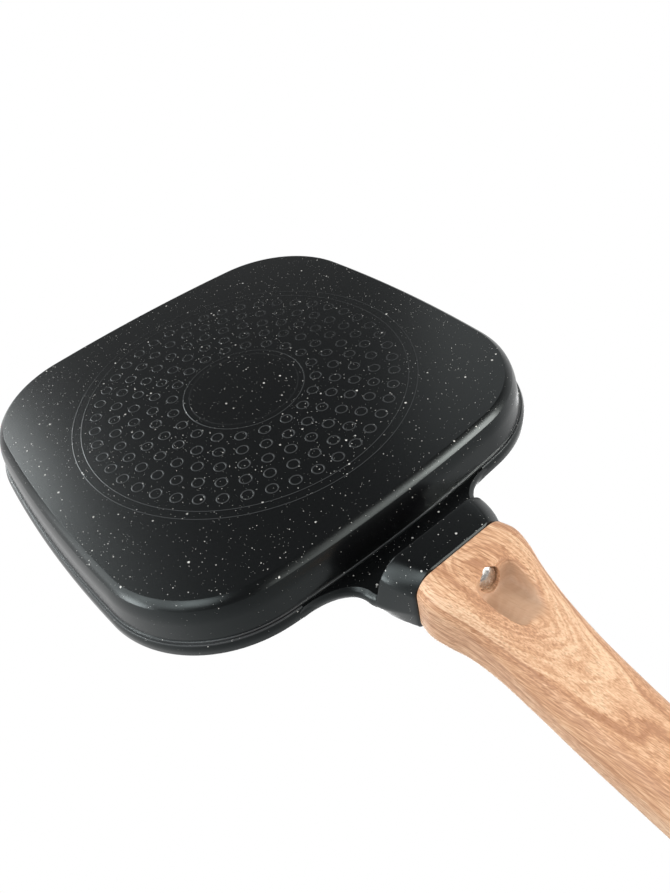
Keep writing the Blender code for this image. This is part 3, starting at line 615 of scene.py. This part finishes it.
def neck():
    """The flare out of the rim and the block under it: sections along X, each side shaped apart.

    The underside keeps to the flange, bends down in a hollow of the block's root radius and turns
    over the block's rounded front edge to its flat lower face. The last of it is a small bevelled
    lip.
    """
    tip = float(chord(RIM_OUT, NEAR_SIDE["tip_half"]))
    root = tip + NEAR_SIDE["length"]
    before = np.linspace(float(chord(RIM_IN, 0)) + 0.4 * MM, tip, 4)[:-1]
    flare = tip + NEAR_SIDE["length"] * np.linspace(0, 1, 30) ** 2
    web = np.linspace(root, BLOCK_FRONT - BLOCK_ROOT, 6)[1:]
    turn = np.radians(np.linspace(0, 90, 8))
    hollow = BLOCK_FRONT - BLOCK_ROOT + BLOCK_ROOT * np.sin(turn)
    edge = BLOCK_FRONT + BLOCK_FRONT_EDGE * (1 - np.cos(turn)) + 0.05 * MM
    face = np.linspace(edge[-1], NECK_END - LIP, 16)[1:]
    lip = NECK_END - LIP + LIP * np.array([0.03, 1.0])
    place = np.concatenate([before, flare, web, hollow, edge, face, lip])
    low = np.concatenate([
        np.full(len(before) + len(flare) + len(web), FLANGE_Z),
        FLANGE_Z - BLOCK_ROOT * (1 - np.cos(turn)),
        BLOCK_LOW + BLOCK_FRONT_EDGE * (1 - np.sin(turn)),
        np.full(len(face) + len(lip), BLOCK_LOW),
    ])
    near = neck_half(place, low, **NEAR_SIDE)
    far = neck_half(place, low, **FAR_SIDE)[:, ::-1] * np.array([-1, 1])
    marks = np.zeros(len(place))
    # The lip takes a lighter mark: partly wear, partly a painted highlight along its edge.
    marks[-len(lip):] = LIP_WEAR_AND_HIGHLIGHT
    return skin("neck", at_places(place, np.concatenate([near, far], 1)), marks=marks)


def tongue():
    """The hidden tongue that locates the handle: a rounded bar along X."""
    half_width, half_height, length = 12 * MM, 3.5 * MM, 28 * MM
    middle_z, edge = 24.5 * MM, 1.5 * MM
    outline = np.concatenate([
        arc(((half_width - edge) * sx, (half_height - edge) * sz + middle_z), edge, a, a + 90, 5)
        for sx, sz, a in ((1, 1, 0), (-1, 1, 90), (-1, -1, 180), (1, -1, 270))
    ])
    places = NECK_END + np.array([-4 * MM, length - edge, length - 0.4 * MM, length])
    shrink = np.array([1, 1, 0.97, 0.9])[:, None, None]
    middle = np.array([0, middle_z])
    return skin("neck_tongue", at_places(places, middle + (outline - middle)[None] * shrink))


# Handle

def hollow_lift(x, y, low):
    """How far the hollow for the screw lifts the handle's lower face, and how much of the sanded
    look and painted shade it takes.

    The hollow is z = top - fall (x - x0) - depth rho^p, where rho is a rounded rectangle's
    distance, rho^q = |u|^q / a^q + |y - y0|^q / b^q, and u is x - x0, skewed by the side towards
    the tail. Towards the screw a is shorter and p and q higher, so that the end wall stands square
    to the screw, and p is higher on the near side too. It meets the lower face by half of
    d + (d^2 + k^2)^(1/2), where d is how far it lies over the face and k rounds the lip, more on
    the far side and at the tail.
    """
    middle_x, middle_y, half_across = 180.0 * MM, -0.9 * MM, 10.6 * MM
    front_length, tail_length = 12.4 * MM, 20.5 * MM
    top, fall, depth = 13.4 * MM, 0.02, 10.4 * MM
    u = x - middle_x + 0.7 * (y - middle_y) * smooth((x - 172 * MM) / (12 * MM))
    front = smooth(-u / (8 * MM))
    a = np.where(u < 0, front_length, tail_length)
    q = 2.6 + 2.4 * front
    rho = (np.abs(u / a) ** q + np.abs((y - middle_y) / half_across) ** q) ** (1 / q)
    p = 4 + 6 * front + 4 * smooth(y / (6 * MM))
    over = top - fall * (x - middle_x) - depth * np.minimum(rho, 2) ** p - low
    far_side, tail = smooth(-(y - 2 * MM) / (9 * MM)), smooth((x - 186 * MM) / (8 * MM))
    soft = 0.3 * MM + 1.4 * MM * far_side + 0.6 * MM * tail
    lift = 0.5 * (over + np.sqrt(over**2 + soft**2))
    lift = np.where(rho < 1.7, lift * smooth((1.7 - rho) / 0.5), 0)
    sanded_and_shaded_over = 0.9 * MM + 1.6 * MM * smooth(-(y - 4 * MM) / (8 * MM))
    return lift, smooth((lift - 0.3 * MM) / sanded_and_shaded_over)


def handle():
    """The grip: rounded sections through its stations, a round end and the hollow for the screw.

    Its first sections are drawn in by a quarter circle, and towards the tail's end the sections
    shrink by 1 - (1 - s^2)^(1/2). They stand closest where the hollow and the bore are.
    """
    straight = HANDLE[-1, 0]
    tail = HANDLE_LENGTH - straight
    front = HANDLE_FRONT_EDGE * (1 - np.cos(np.radians([0, 30, 60, 90])))
    hollow_start, hollow_end = 9.5 * MM, 50 * MM
    near = np.linspace(0.9 * MM, hollow_start, 12)
    dense = np.arange(hollow_start, hollow_end, 0.42 * MM)[1:]
    far = np.linspace(hollow_end, straight, 60)
    end = straight + tail * np.sin(np.radians(np.linspace(0, 88.5, 18)))[1:]
    place = np.concatenate([front, near, dense, far, end])
    half, middle, thick, edge = through(HANDLE, np.minimum(place, straight)).T
    turn = np.sqrt(np.clip(1 - (1 - place / HANDLE_FRONT_EDGE) ** 2, 0, 1))
    drawn_in = np.where(place < HANDLE_FRONT_EDGE, HANDLE_FRONT_EDGE * (1 - turn), 0)
    round_end = np.clip((place - straight) / tail, 0, 1)
    pull = 1 - np.sqrt(1 - round_end**2)
    half = half - drawn_in - pull * tail * 0.95
    thick = (thick - drawn_in) - pull * tail * 0.75
    edge = np.minimum(edge, np.minimum(half, thick) * 0.97)
    low, high = middle - thick, middle + thick
    floor = np.stack([0 * half, low], -1)
    lower = np.stack([half, low], -1)
    upper = np.stack([half, high], -1)
    crown = np.stack([0 * half, high], -1)
    flat = (half - edge)[:, None] * np.linspace(0, 1, 42)[None, 1:-1]
    flat = np.stack([flat, np.broadcast_to(low[:, None], flat.shape)], -1)
    inward = np.array([0.45, 0.65, 0.85, 0.99])[None, :, None]
    side = np.concatenate([
        flat,
        round_corner(floor, lower, upper, edge, 16),
        round_corner(lower, upper, crown, edge, 14),
        upper[:, None] + (crown - upper)[:, None] * inward,
    ], 1)
    section = np.concatenate([side, side[:, ::-1] * np.array([-1, 1])], 1)
    rings = at_places(NECK_END + HANDLE_GAP + place, section)
    underside = rings[..., 2] < (middle - 0.2 * thick)[:, None]
    # The hollow's mark gives its sanded look and its painted shade.
    lift, sanded = hollow_lift(rings[..., 0], rings[..., 1], low[:, None])
    rings[..., 2] += np.where(underside, lift, 0)
    sharp = 40.0
    grip = skin("handle_grip", rings, sharp, np.where(underside, sanded, 0), "sanded")
    cut(grip, sharp, bore_cutter(), hook_slot_cutter())
    return grip


def screw_axis(distance):
    """A matrix whose Z runs out of the bore, with its origin this far from the bore's mouth."""
    out = np.array([math.cos(SLOPE), 0, -math.sin(SLOPE)])
    across = np.array([0.0, 1.0, 0.0])
    matrix = np.eye(4)
    matrix[:3, 0], matrix[:3, 1], matrix[:3, 2] = across, np.cross(out, across), out
    matrix[:3, 3] = np.array([BORE_X, 0, BORE_Z]) + out * distance
    return matrix


def pole_to_pole(name, profile, around, matrix, sharp=35.0):
    """Turn an open (radius, height) profile whose ends lie on the axis."""
    angle = np.linspace(0, 2 * np.pi, around, endpoint=False)[None, :]
    radius, height = profile[:, 0, None], profile[:, 1, None]
    rings = np.stack([radius * np.cos(angle), radius * np.sin(angle), height + 0 * angle], -1)
    return skin(name, rings @ matrix[:3, :3].T + matrix[:3, 3], sharp)


def bore_cutter():
    """A cylinder on the screw's axis, down to the seat of the washers."""
    seat, mouth = -(HEAD_SINK + HEAD_HEIGHT + BORE_PAST_SEAT), 11 * MM
    profile = [(AXIS_RADIUS, seat), (BORE_RADIUS, seat), (BORE_RADIUS, mouth), (AXIS_RADIUS, mouth)]
    return pole_to_pole("bore_cutter", np.array(profile), 96, screw_axis(0))


def hook_slot_cutter():
    """A round-ended slot through the tail."""
    middle, half, run = 323.5 * MM, 4.5 * MM, 5.5 * MM
    ends = [arc((middle + run, 0), half, -90, 90, 24), arc((middle - run, 0), half, 90, 270, 24)]
    outline = np.concatenate(ends)
    levels = np.array([30 * MM, 80 * MM])
    outlines = np.broadcast_to(outline, (2,) + outline.shape)
    return skin("hook_slot_cutter", at_heights(outlines, levels))


def cut(target, sharp, *cutters):
    """Subtract the cutters from a piece and keep the result as its mesh."""
    for cutter in cutters:
        step = target.modifiers.new("cut", "BOOLEAN")
        step.operation = "DIFFERENCE"
        step.solver = "EXACT"
        step.object = cutter
    bpy.context.view_layer.update()
    evaluated = target.evaluated_get(bpy.context.evaluated_depsgraph_get())
    mesh = bpy.data.meshes.new_from_object(evaluated)
    target.modifiers.clear()
    target.data = mesh
    mesh.name = target.name
    mesh.shade_smooth()
    mesh.set_sharp_from_angle(angle=math.radians(sharp))
    for cutter in cutters:
        bpy.data.objects.remove(cutter, do_unlink=True)


def screw():
    """Domed head and shank: the dome is an arc from the axis to the head's edge."""
    seat = -(HEAD_SINK + HEAD_HEIGHT)
    edge = math.degrees(math.acos(HEAD_RADIUS / DOME_RADIUS))
    dome = arc((0, HEAD_HEIGHT - DOME_RADIUS), DOME_RADIUS, 89.9, edge + 1.5, 14)
    shank = np.array([
        (HEAD_RADIUS, dome[-1, 1] - 0.35 * MM), (HEAD_RADIUS, 0), (SHANK_RADIUS, 0),
        (SHANK_RADIUS, -SHANK_LENGTH + POINT_LENGTH),
        (POINT_RADIUS, -SHANK_LENGTH), (AXIS_RADIUS, -SHANK_LENGTH),
    ])
    return pole_to_pole("screw", np.concatenate([dome, shank]), 64, screw_axis(seat), sharp=40.0)


# Materials

class Nodes:
    """Short ways to add and join the nodes of a tree."""

    def __init__(self, tree):
        self.tree = tree

    def join(self, value, socket):
        """Link an output to a socket, or set the socket to a plain value."""
        if isinstance(value, bpy.types.NodeSocket):
            self.tree.links.new(value, socket)
        else:
            socket.default_value = value

    def add(self, kind, output=0, settings=None, **inputs):
        """An output of a new node, its inputs joined by name."""
        made = self.tree.nodes.new("ShaderNode" + kind)
        for name, value in (settings or {}).items():
            setattr(made, name, value)
        for name, value in inputs.items():
            self.join(value, made.inputs[name.replace("_", " ")])
        return made.outputs[output]

    def calc(self, operation, *values, kind="Math", clamp=False):
        """The result of a new maths node, its inputs joined in order."""
        made = self.tree.nodes.new("ShaderNode" + kind)
        made.operation = operation
        if clamp:
            made.use_clamp = True
        for socket, value in zip(made.inputs, values):
            self.join(value, socket)
        return made.outputs[0]

    def times(self, first, second, clamp=False):
        return self.calc("MULTIPLY", first, second, clamp=clamp)

    def plus(self, first, second):
        return self.calc("ADD", first, second)

    def minus(self, first, second):
        return self.calc("SUBTRACT", first, second)

    def larger(self, first, second):
        return self.calc("MAXIMUM", first, second)

    def noise(self, vector, scale, detail, output=0):
        return self.add("TexNoise", output, Vector=vector, Scale=scale, Detail=detail)

    def blend(self, share, first, second):
        """Two colours mixed by a share."""
        made = self.tree.nodes.new("ShaderNodeMix")
        made.data_type = "RGBA"
        for index, value in zip((0, 6, 7), (share, first, second)):
            self.join(value, made.inputs[index])
        return made.outputs[2]

    def mix(self, share, first, second):
        """Two shaders mixed by a share."""
        made = self.tree.nodes.new("ShaderNodeMixShader")
        for socket, value in zip(made.inputs, (share, first, second)):
            self.join(value, socket)
        return made.outputs[0]

    def ramp(self, value, *stops):
        """A value's colour or grey on a ramp through (place, shade) stops."""
        made = self.tree.nodes.new("ShaderNodeValToRGB")
        self.join(value, made.inputs[0])
        ends = made.color_ramp.elements
        while len(ends) < len(stops):
            ends.new(0.5)
        for stop, (place, shade) in zip(ends, stops):
            stop.position = place
            stop.color = (*shade, 1) if isinstance(shade, tuple) else (shade, shade, shade, 1)
        return made.outputs[0]

    def place(self, scale=None, turn=(0, 0, 0), shift=(0, 0, 0)):
        """Object coordinates, turned and shifted, and then scaled."""
        vector = self.add("TexCoord", "Object")
        vector = self.add("Mapping", Vector=vector, Rotation=turn, Location=shift)
        return self.add("Mapping", Vector=vector, Scale=scale) if scale else vector


class Finish(Nodes):
    """A material under a plain name."""

    def __init__(self, name):
        self.material = bpy.data.materials.new(name)
        self.material.use_nodes = True
        super().__init__(self.material.node_tree)
        self.surface = self.tree.nodes["Principled BSDF"]

    def set(self, **values):
        for name, value in values.items():
            self.join(value, self.surface.inputs[name.replace("_", " ")])

    def mark(self, name):
        return self.add("Attribute", "Fac", {"attribute_name": name})


def speckles(finish, cell, largest, power, shift, share):
    """Round dots with a soft edge, one about a random point in each cell.

    A dot's radius is largest * u^power * share, with u a random number of its cell.
    """
    edge = 0.025 * MM
    dots = finish.add("TexVoronoi", Scale=1 / cell, Vector=finish.place(shift=shift)).node.outputs
    chance = finish.add("SeparateColor", 1, Color=dots["Color"])
    size = finish.times(finish.times(finish.calc("POWER", chance, power), largest / cell), share)
    return finish.times(finish.minus(size, dots["Distance"]), cell / edge, clamp=True)


def black_coat():
    """Black non-stick coat with white speckles of three sizes, bigger on level faces than on walls.

    Lines that stand proud carry an attribute that makes them lighter, most of all towards +X and
    +Y: partly wear, partly a painted highlight along the ridges.
    """
    finish = Finish("speckled_coat")
    patchy = finish.ramp(finish.noise(finish.place(), 22.0, 2.0), (0.35, 0.55), (0.65, 1.0))
    level = finish.add("SeparateXYZ", "Z", Vector=finish.add("TexCoord", "Normal"))
    share = finish.ramp(finish.calc("ABSOLUTE", level), (0.25, 0.6), (0.8, 1.0))
    dots = finish.larger(
        speckles(finish, 1.1 * MM, 0.14 * MM, 1.5, (0, 0, 0), share),
        finish.larger(speckles(finish, 1.7 * MM, 0.28 * MM, 2.0, (0.7, 0.2, 0.4), share),
                      speckles(finish, 4.5 * MM, 0.6 * MM, 2.0, (0.3, 0.9, 0.1), share)),
    )
    dots = finish.times(dots, patchy)
    tone = finish.noise(finish.place(), 900.0, 1.0)
    black = finish.ramp(tone, (0.3, (0.0025, 0.0027, 0.003)), (0.7, (0.0042, 0.0044, 0.0048)))
    across = finish.add("SeparateXYZ", Vector=finish.place()).node.outputs
    # Raised lines are painted lighter, partly as wear and partly as the highlight along their
    # edges, more so towards +X and +Y.
    wear_and_highlight_spread = finish.times(finish.plus(across["X"], across["Y"]), 1 / (170 * MM))
    wear_and_highlight_spread = finish.ramp(finish.plus(wear_and_highlight_spread, 0.5), (0.1, 0.3), (0.75, 1.0))
    black = finish.blend(finish.times(finish.mark("rubbed"), wear_and_highlight_spread), black, (0.060, 0.063, 0.066, 1))
    color = finish.blend(dots, black, (0.72, 0.72, 0.69, 1))
    grain = finish.noise(finish.place(), 1400.0, 2.0)
    height = finish.plus(finish.times(dots, 0.6), grain)
    bump = finish.add("Bump", Strength=0.12, Distance=0.05 * MM, Height=height)
    finish.set(Base_Color=color, Roughness=0.265, Normal=bump, Specular_IOR_Level=0.48,
               Specular_Tint=(0.84, 0.96, 0.97, 1))
    return finish.material


def growth_layers(finish):
    """The wood's layers: tubes about a line under the handle, cut in an arch by its lower face.

    Gives the distance from that line, warped by a noise, the place across it, the zone (a dark
    line, a brown zone and a pale zone that repeat, browner outside the arch) and the thin lines
    between.
    """
    arch, pitch, line_pitch, outer = 29.5 * MM, 12 * MM, 3.1 * MM, 24 * MM
    turned = finish.place(
        turn=(0, math.radians(10.8), math.radians(5)), shift=(0, -16.9 * MM, 46.5 * MM))
    warp = finish.noise(finish.place(scale=(0.35, 1, 1)), 45.0, 2.0, "Color")
    warp = finish.calc("SUBTRACT", warp, (0.5, 0.5, 0.5), kind="VectorMath")
    warp = finish.add("VectorMath", 0, {"operation": "SCALE"}, Vector=warp, Scale=7 * MM)
    warped = finish.calc("ADD", turned, warp, kind="VectorMath")
    axes = finish.add("SeparateXYZ", Vector=warped).node.outputs
    squares = [finish.calc("POWER", axes[name], 2.0) for name in ("Y", "Z")]
    radius = finish.calc("SQRT", finish.plus(*squares))
    layer = finish.minus(radius, arch - 10 * pitch)
    zone = finish.ramp(
        finish.calc("FRACT", finish.times(layer, 1 / pitch)),
        (0.0, 1.0), (0.05, 1.0), (0.13, 0.42), (0.42, 0.4), (0.56, 0.08), (0.95, 0.0), (1.0, 0.8))
    outside = finish.times(finish.minus(radius, arch), 1 / outer)
    outside = finish.ramp(outside, (0.0, 0.0), (0.02, 0.6), (0.4, 0.56), (0.5, 0.36), (1.0, 0.3))
    line = finish.calc("FRACT", finish.times(layer, 1 / line_pitch))
    line = finish.ramp(line, (0.0, 0.7), (0.25, 0.1), (0.7, 0.0), (0.95, 1.0), (1.0, 0.7))
    return radius, axes["Y"], finish.larger(zone, outside), line


def wood_grain():
    """Light wood, sawn so that its growth layers close in an arch on the lower face.

    A tone adds up the layers, the streaks along them, fibres stretched along the handle and a slow
    drift, with more of the streaks towards the neck. It runs from pale to brown, and pores darken
    it, most of all in the brown zones and near the neck. The hollow, marked by its attribute, is
    nearly bare of grain and painted darker brown: partly its bare end grain, partly painted shade
    in the recess.
    """
    finish = Finish("wood_grain")
    radius, across, zone, line = growth_layers(finish)
    fibre = finish.noise(finish.place((0.07, 1, 1), turn=FIBRE_TURN), 2500.0, 2.0)
    fibre = finish.ramp(fibre, (0.36, 0.0), (0.64, 1.0))
    along = finish.add("SeparateXYZ", "X", Vector=finish.place())
    growth = finish.add(
        "CombineXYZ", X=finish.times(along, 0.05), Y=radius, Z=finish.times(across, 0.1))
    streak = finish.ramp(finish.noise(growth, 1500.0, 3.0), (0.41, 0.0), (0.6, 1.0))
    pores = finish.noise(finish.place((0.06, 1, 1), turn=FIBRE_TURN), 1700.0, 1.0)
    pores = finish.ramp(pores, (0.57, 0.0), (0.68, 1.0))
    drift = finish.minus(finish.noise(finish.place(scale=(0.3, 1, 1)), 60.0, 1.0), 0.6)
    front = finish.times(finish.minus(along, NECK_END), 1 / (110 * MM))
    front = finish.ramp(front, (0.0, 1.0), (0.9, 0.0))
    tone = finish.times(zone, 0.46)
    for value, weight in ((line, 0.08), (streak, 0.3), (fibre, 0.4), (drift, 0.4)):
        tone = finish.plus(tone, finish.times(value, weight))
    tone = finish.plus(tone, finish.times(front, finish.times(streak, 0.14)))
    color = finish.ramp(
        tone, (0.05, (0.88, 0.65, 0.435)), (0.30, (0.82, 0.54, 0.342)),
        (0.62, (0.66, 0.375, 0.218)), (0.95, (0.49, 0.255, 0.145)))
    depth = finish.plus(finish.plus(finish.times(zone, 0.45), 0.3), finish.times(front, 0.35))
    color = finish.blend(finish.times(pores, depth), color, (0.42, 0.20, 0.10, 1))
    # The hollow is painted darker brown: partly its bare end grain, partly painted shade in the
    # recess.
    color = finish.blend(finish.times(finish.mark("sanded"), 0.83), color, (0.565, 0.37, 0.246, 1))
    bump = finish.add("Bump", Strength=0.08, Distance=0.1 * MM, Height=finish.minus(1.0, pores))
    finish.set(Base_Color=color, Roughness=0.45, Normal=bump, Specular_IOR_Level=0.35)
    return finish.material


def bright_steel():
    """Plated steel, whose colour and gloss vary in fine clouds."""
    finish = Finish("plated_steel")
    cloud = finish.noise(finish.place(), 900.0, 2.0)
    color = finish.ramp(cloud, (0.3, (0.55, 0.54, 0.52)), (0.7, (0.80, 0.79, 0.77)))
    rough = finish.ramp(cloud, (0.3, 0.16), (0.7, 0.3))
    finish.set(Base_Color=color, Metallic=1.0, Roughness=rough)
    return finish.material


# Pieces on the frame

def dress(piece, node, material):
    """Put a piece on the pan, in place of its node and a finish."""
    piece.data.materials.clear()
    piece.data.materials.append(material)
    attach(piece, "root")
    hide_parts(node)


coat = black_coat()
wood = wood_grain()
steel = bright_steel()
for make in (bowl, ribs, neck, tongue, stud_marks):
    dress(make(), "pan_body", coat)
dress(steel_plate(), "induction_plate", coat)
dress(handle(), "handle", wood)
dress(screw(), "handle_screw", steel)
for washer in ("lock_washer", "flat_washer"):
    node = bpy.data.objects[washer]
    node.data.materials.clear()
    node.data.materials.append(steel)


# Floor, background, lamps and camera

def white_background():
    """A white surround to camera rays, and a soft even light to the rest.

    Reflections and transmission see it shaded: white from just over the horizon up and darker
    below, as the ground under a pan is. All of that is dimmed on the viewer's side, by 1 less a
    part of the direction's X, clipped to 0 to 1.
    """
    world = bpy.data.worlds.new("studio")
    bpy.context.scene.world = world
    world.use_nodes = True
    nodes = Nodes(world.node_tree)
    nodes.tree.nodes.clear()
    path = nodes.add("LightPath").node.outputs
    direction = nodes.add("SeparateXYZ", Vector=nodes.add("TexCoord", "Generated")).node.outputs
    shade = nodes.add("MapRange", Value=direction["Z"], **GROUND_SHADE)
    less = nodes.calc("MULTIPLY_ADD", direction["X"], -VIEWER_SHADE, 1.0, clamp=True)
    seen = nodes.larger(nodes.times(shade, less), path["Is Camera Ray"])
    mirrored = nodes.add("Background", Strength=1.0, Color=seen)
    soft = nodes.add("Background", Strength=AMBIENT, Color=(1, 1, 1, 1))
    sharp_rays = nodes.larger(nodes.larger(path["Is Camera Ray"], path["Is Glossy Ray"]),
                              path["Is Transmission Ray"])
    output = nodes.tree.nodes.new("ShaderNodeOutputWorld")
    nodes.join(nodes.mix(sharp_rays, soft, mirrored), output.inputs["Surface"])


def floor():
    """The pale floor under the pan, seen only from above, so that it never hides the underside.

    It takes the pan's shadow near the pan, and fades to the background's white further out.
    """
    mesh = bpy.data.meshes.new("floor")
    size, z = 6.0, -0.2 * MM
    corners = [(-size, -size, z), (size, -size, z), (size, size, z), (-size, size, z)]
    mesh.from_pydata(corners, [], [(0, 1, 2, 3)])
    made = bpy.data.objects.new("floor", mesh)
    bpy.context.scene.collection.objects.link(made)
    finish = Finish("floor_white")
    finish.set(Base_Color=(0.93, 0.93, 0.93, 1), Roughness=0.9)
    reach = finish.add("VectorMath", "Value", {"operation": "LENGTH"}, Vector=finish.place())
    fade = finish.ramp(finish.times(reach, 1 / size), (0.07, 0.6), (0.35, 1.0))
    pale = finish.mix(fade, finish.surface.outputs[0], finish.add("Emission", Strength=1.0))
    from_above = finish.minus(1.0, finish.add("NewGeometry", "Backfacing"))
    shown = finish.times(finish.add("LightPath", "Is Camera Ray"), from_above)
    output = finish.tree.nodes["Material Output"]
    finish.join(finish.mix(shown, finish.add("BsdfTransparent"), pale), output.inputs["Surface"])
    mesh.materials.append(finish.material)


def lamp(name, bearing, height, power, size=0.45, distance=1.2, color=(1, 1, 1)):
    """A square soft lamp that points at the pan, from a bearing and an angle over the floor."""
    aim_z = 0.02
    bearing, height = math.radians(bearing), math.radians(height)
    data = bpy.data.lights.new(name, "AREA")
    data.size = size
    data.energy = power
    data.color = color
    made = bpy.data.objects.new(name, data)
    bpy.context.scene.collection.objects.link(made)
    made.location = (
        distance * math.cos(bearing) * math.cos(height),
        distance * math.sin(bearing) * math.cos(height),
        distance * math.sin(height),
    )
    aim = -made.location
    aim.z += aim_z
    made.rotation_euler = aim.to_track_quat("-Z", "Y").to_euler()


def camera():
    """The photograph's view, as solved from it: from beneath, past the end of the handle."""
    data = bpy.data.cameras.new("camera")
    width, height = PHOTO
    data.sensor_width = 36.0
    data.lens = FOCAL_LENGTH * data.sensor_width / height
    data.shift_x = -(PRINCIPAL_POINT[0] - width / 2) / height
    data.shift_y = (PRINCIPAL_POINT[1] - height / 2) / height
    data.clip_start = 0.01
    made = bpy.data.objects.new("camera", data)
    bpy.context.scene.collection.objects.link(made)
    made.location = (0.29797, 0.12955, -0.23666)
    made.rotation_euler = [math.radians(a) for a in (-132.3771, -9.4384, -50.5899)]
    bpy.context.scene.camera = made


white_background()
floor()
lamp("left_lamp", 165, -28, 5.0)
lamp("corner_lamp", 163, -45, 0.7)
lamp("near_lamp", 120, -25, 4.4, size=0.8)
lamp("side_lamp", 100, -10, 3.9, size=0.38)
lamp("under_lamp", 85, -42, 4.2, size=0.8)
lamp("handle_lamp", 60, -45, 2.1)
lamp("far_lamp", 318, -20, 7.7, color=WARM)
lamp("front_lamp", 334, -32, 1.8, color=WARM)
lamp("end_lamp", 350, -20, 1.3, color=WARM)
lamp("small_lamp", 238, -37, 0.5)
lamp("top_lamp", 230, 62, 12.0, size=1.0)
camera()
bpy.context.scene.view_settings.view_transform = "Standard"
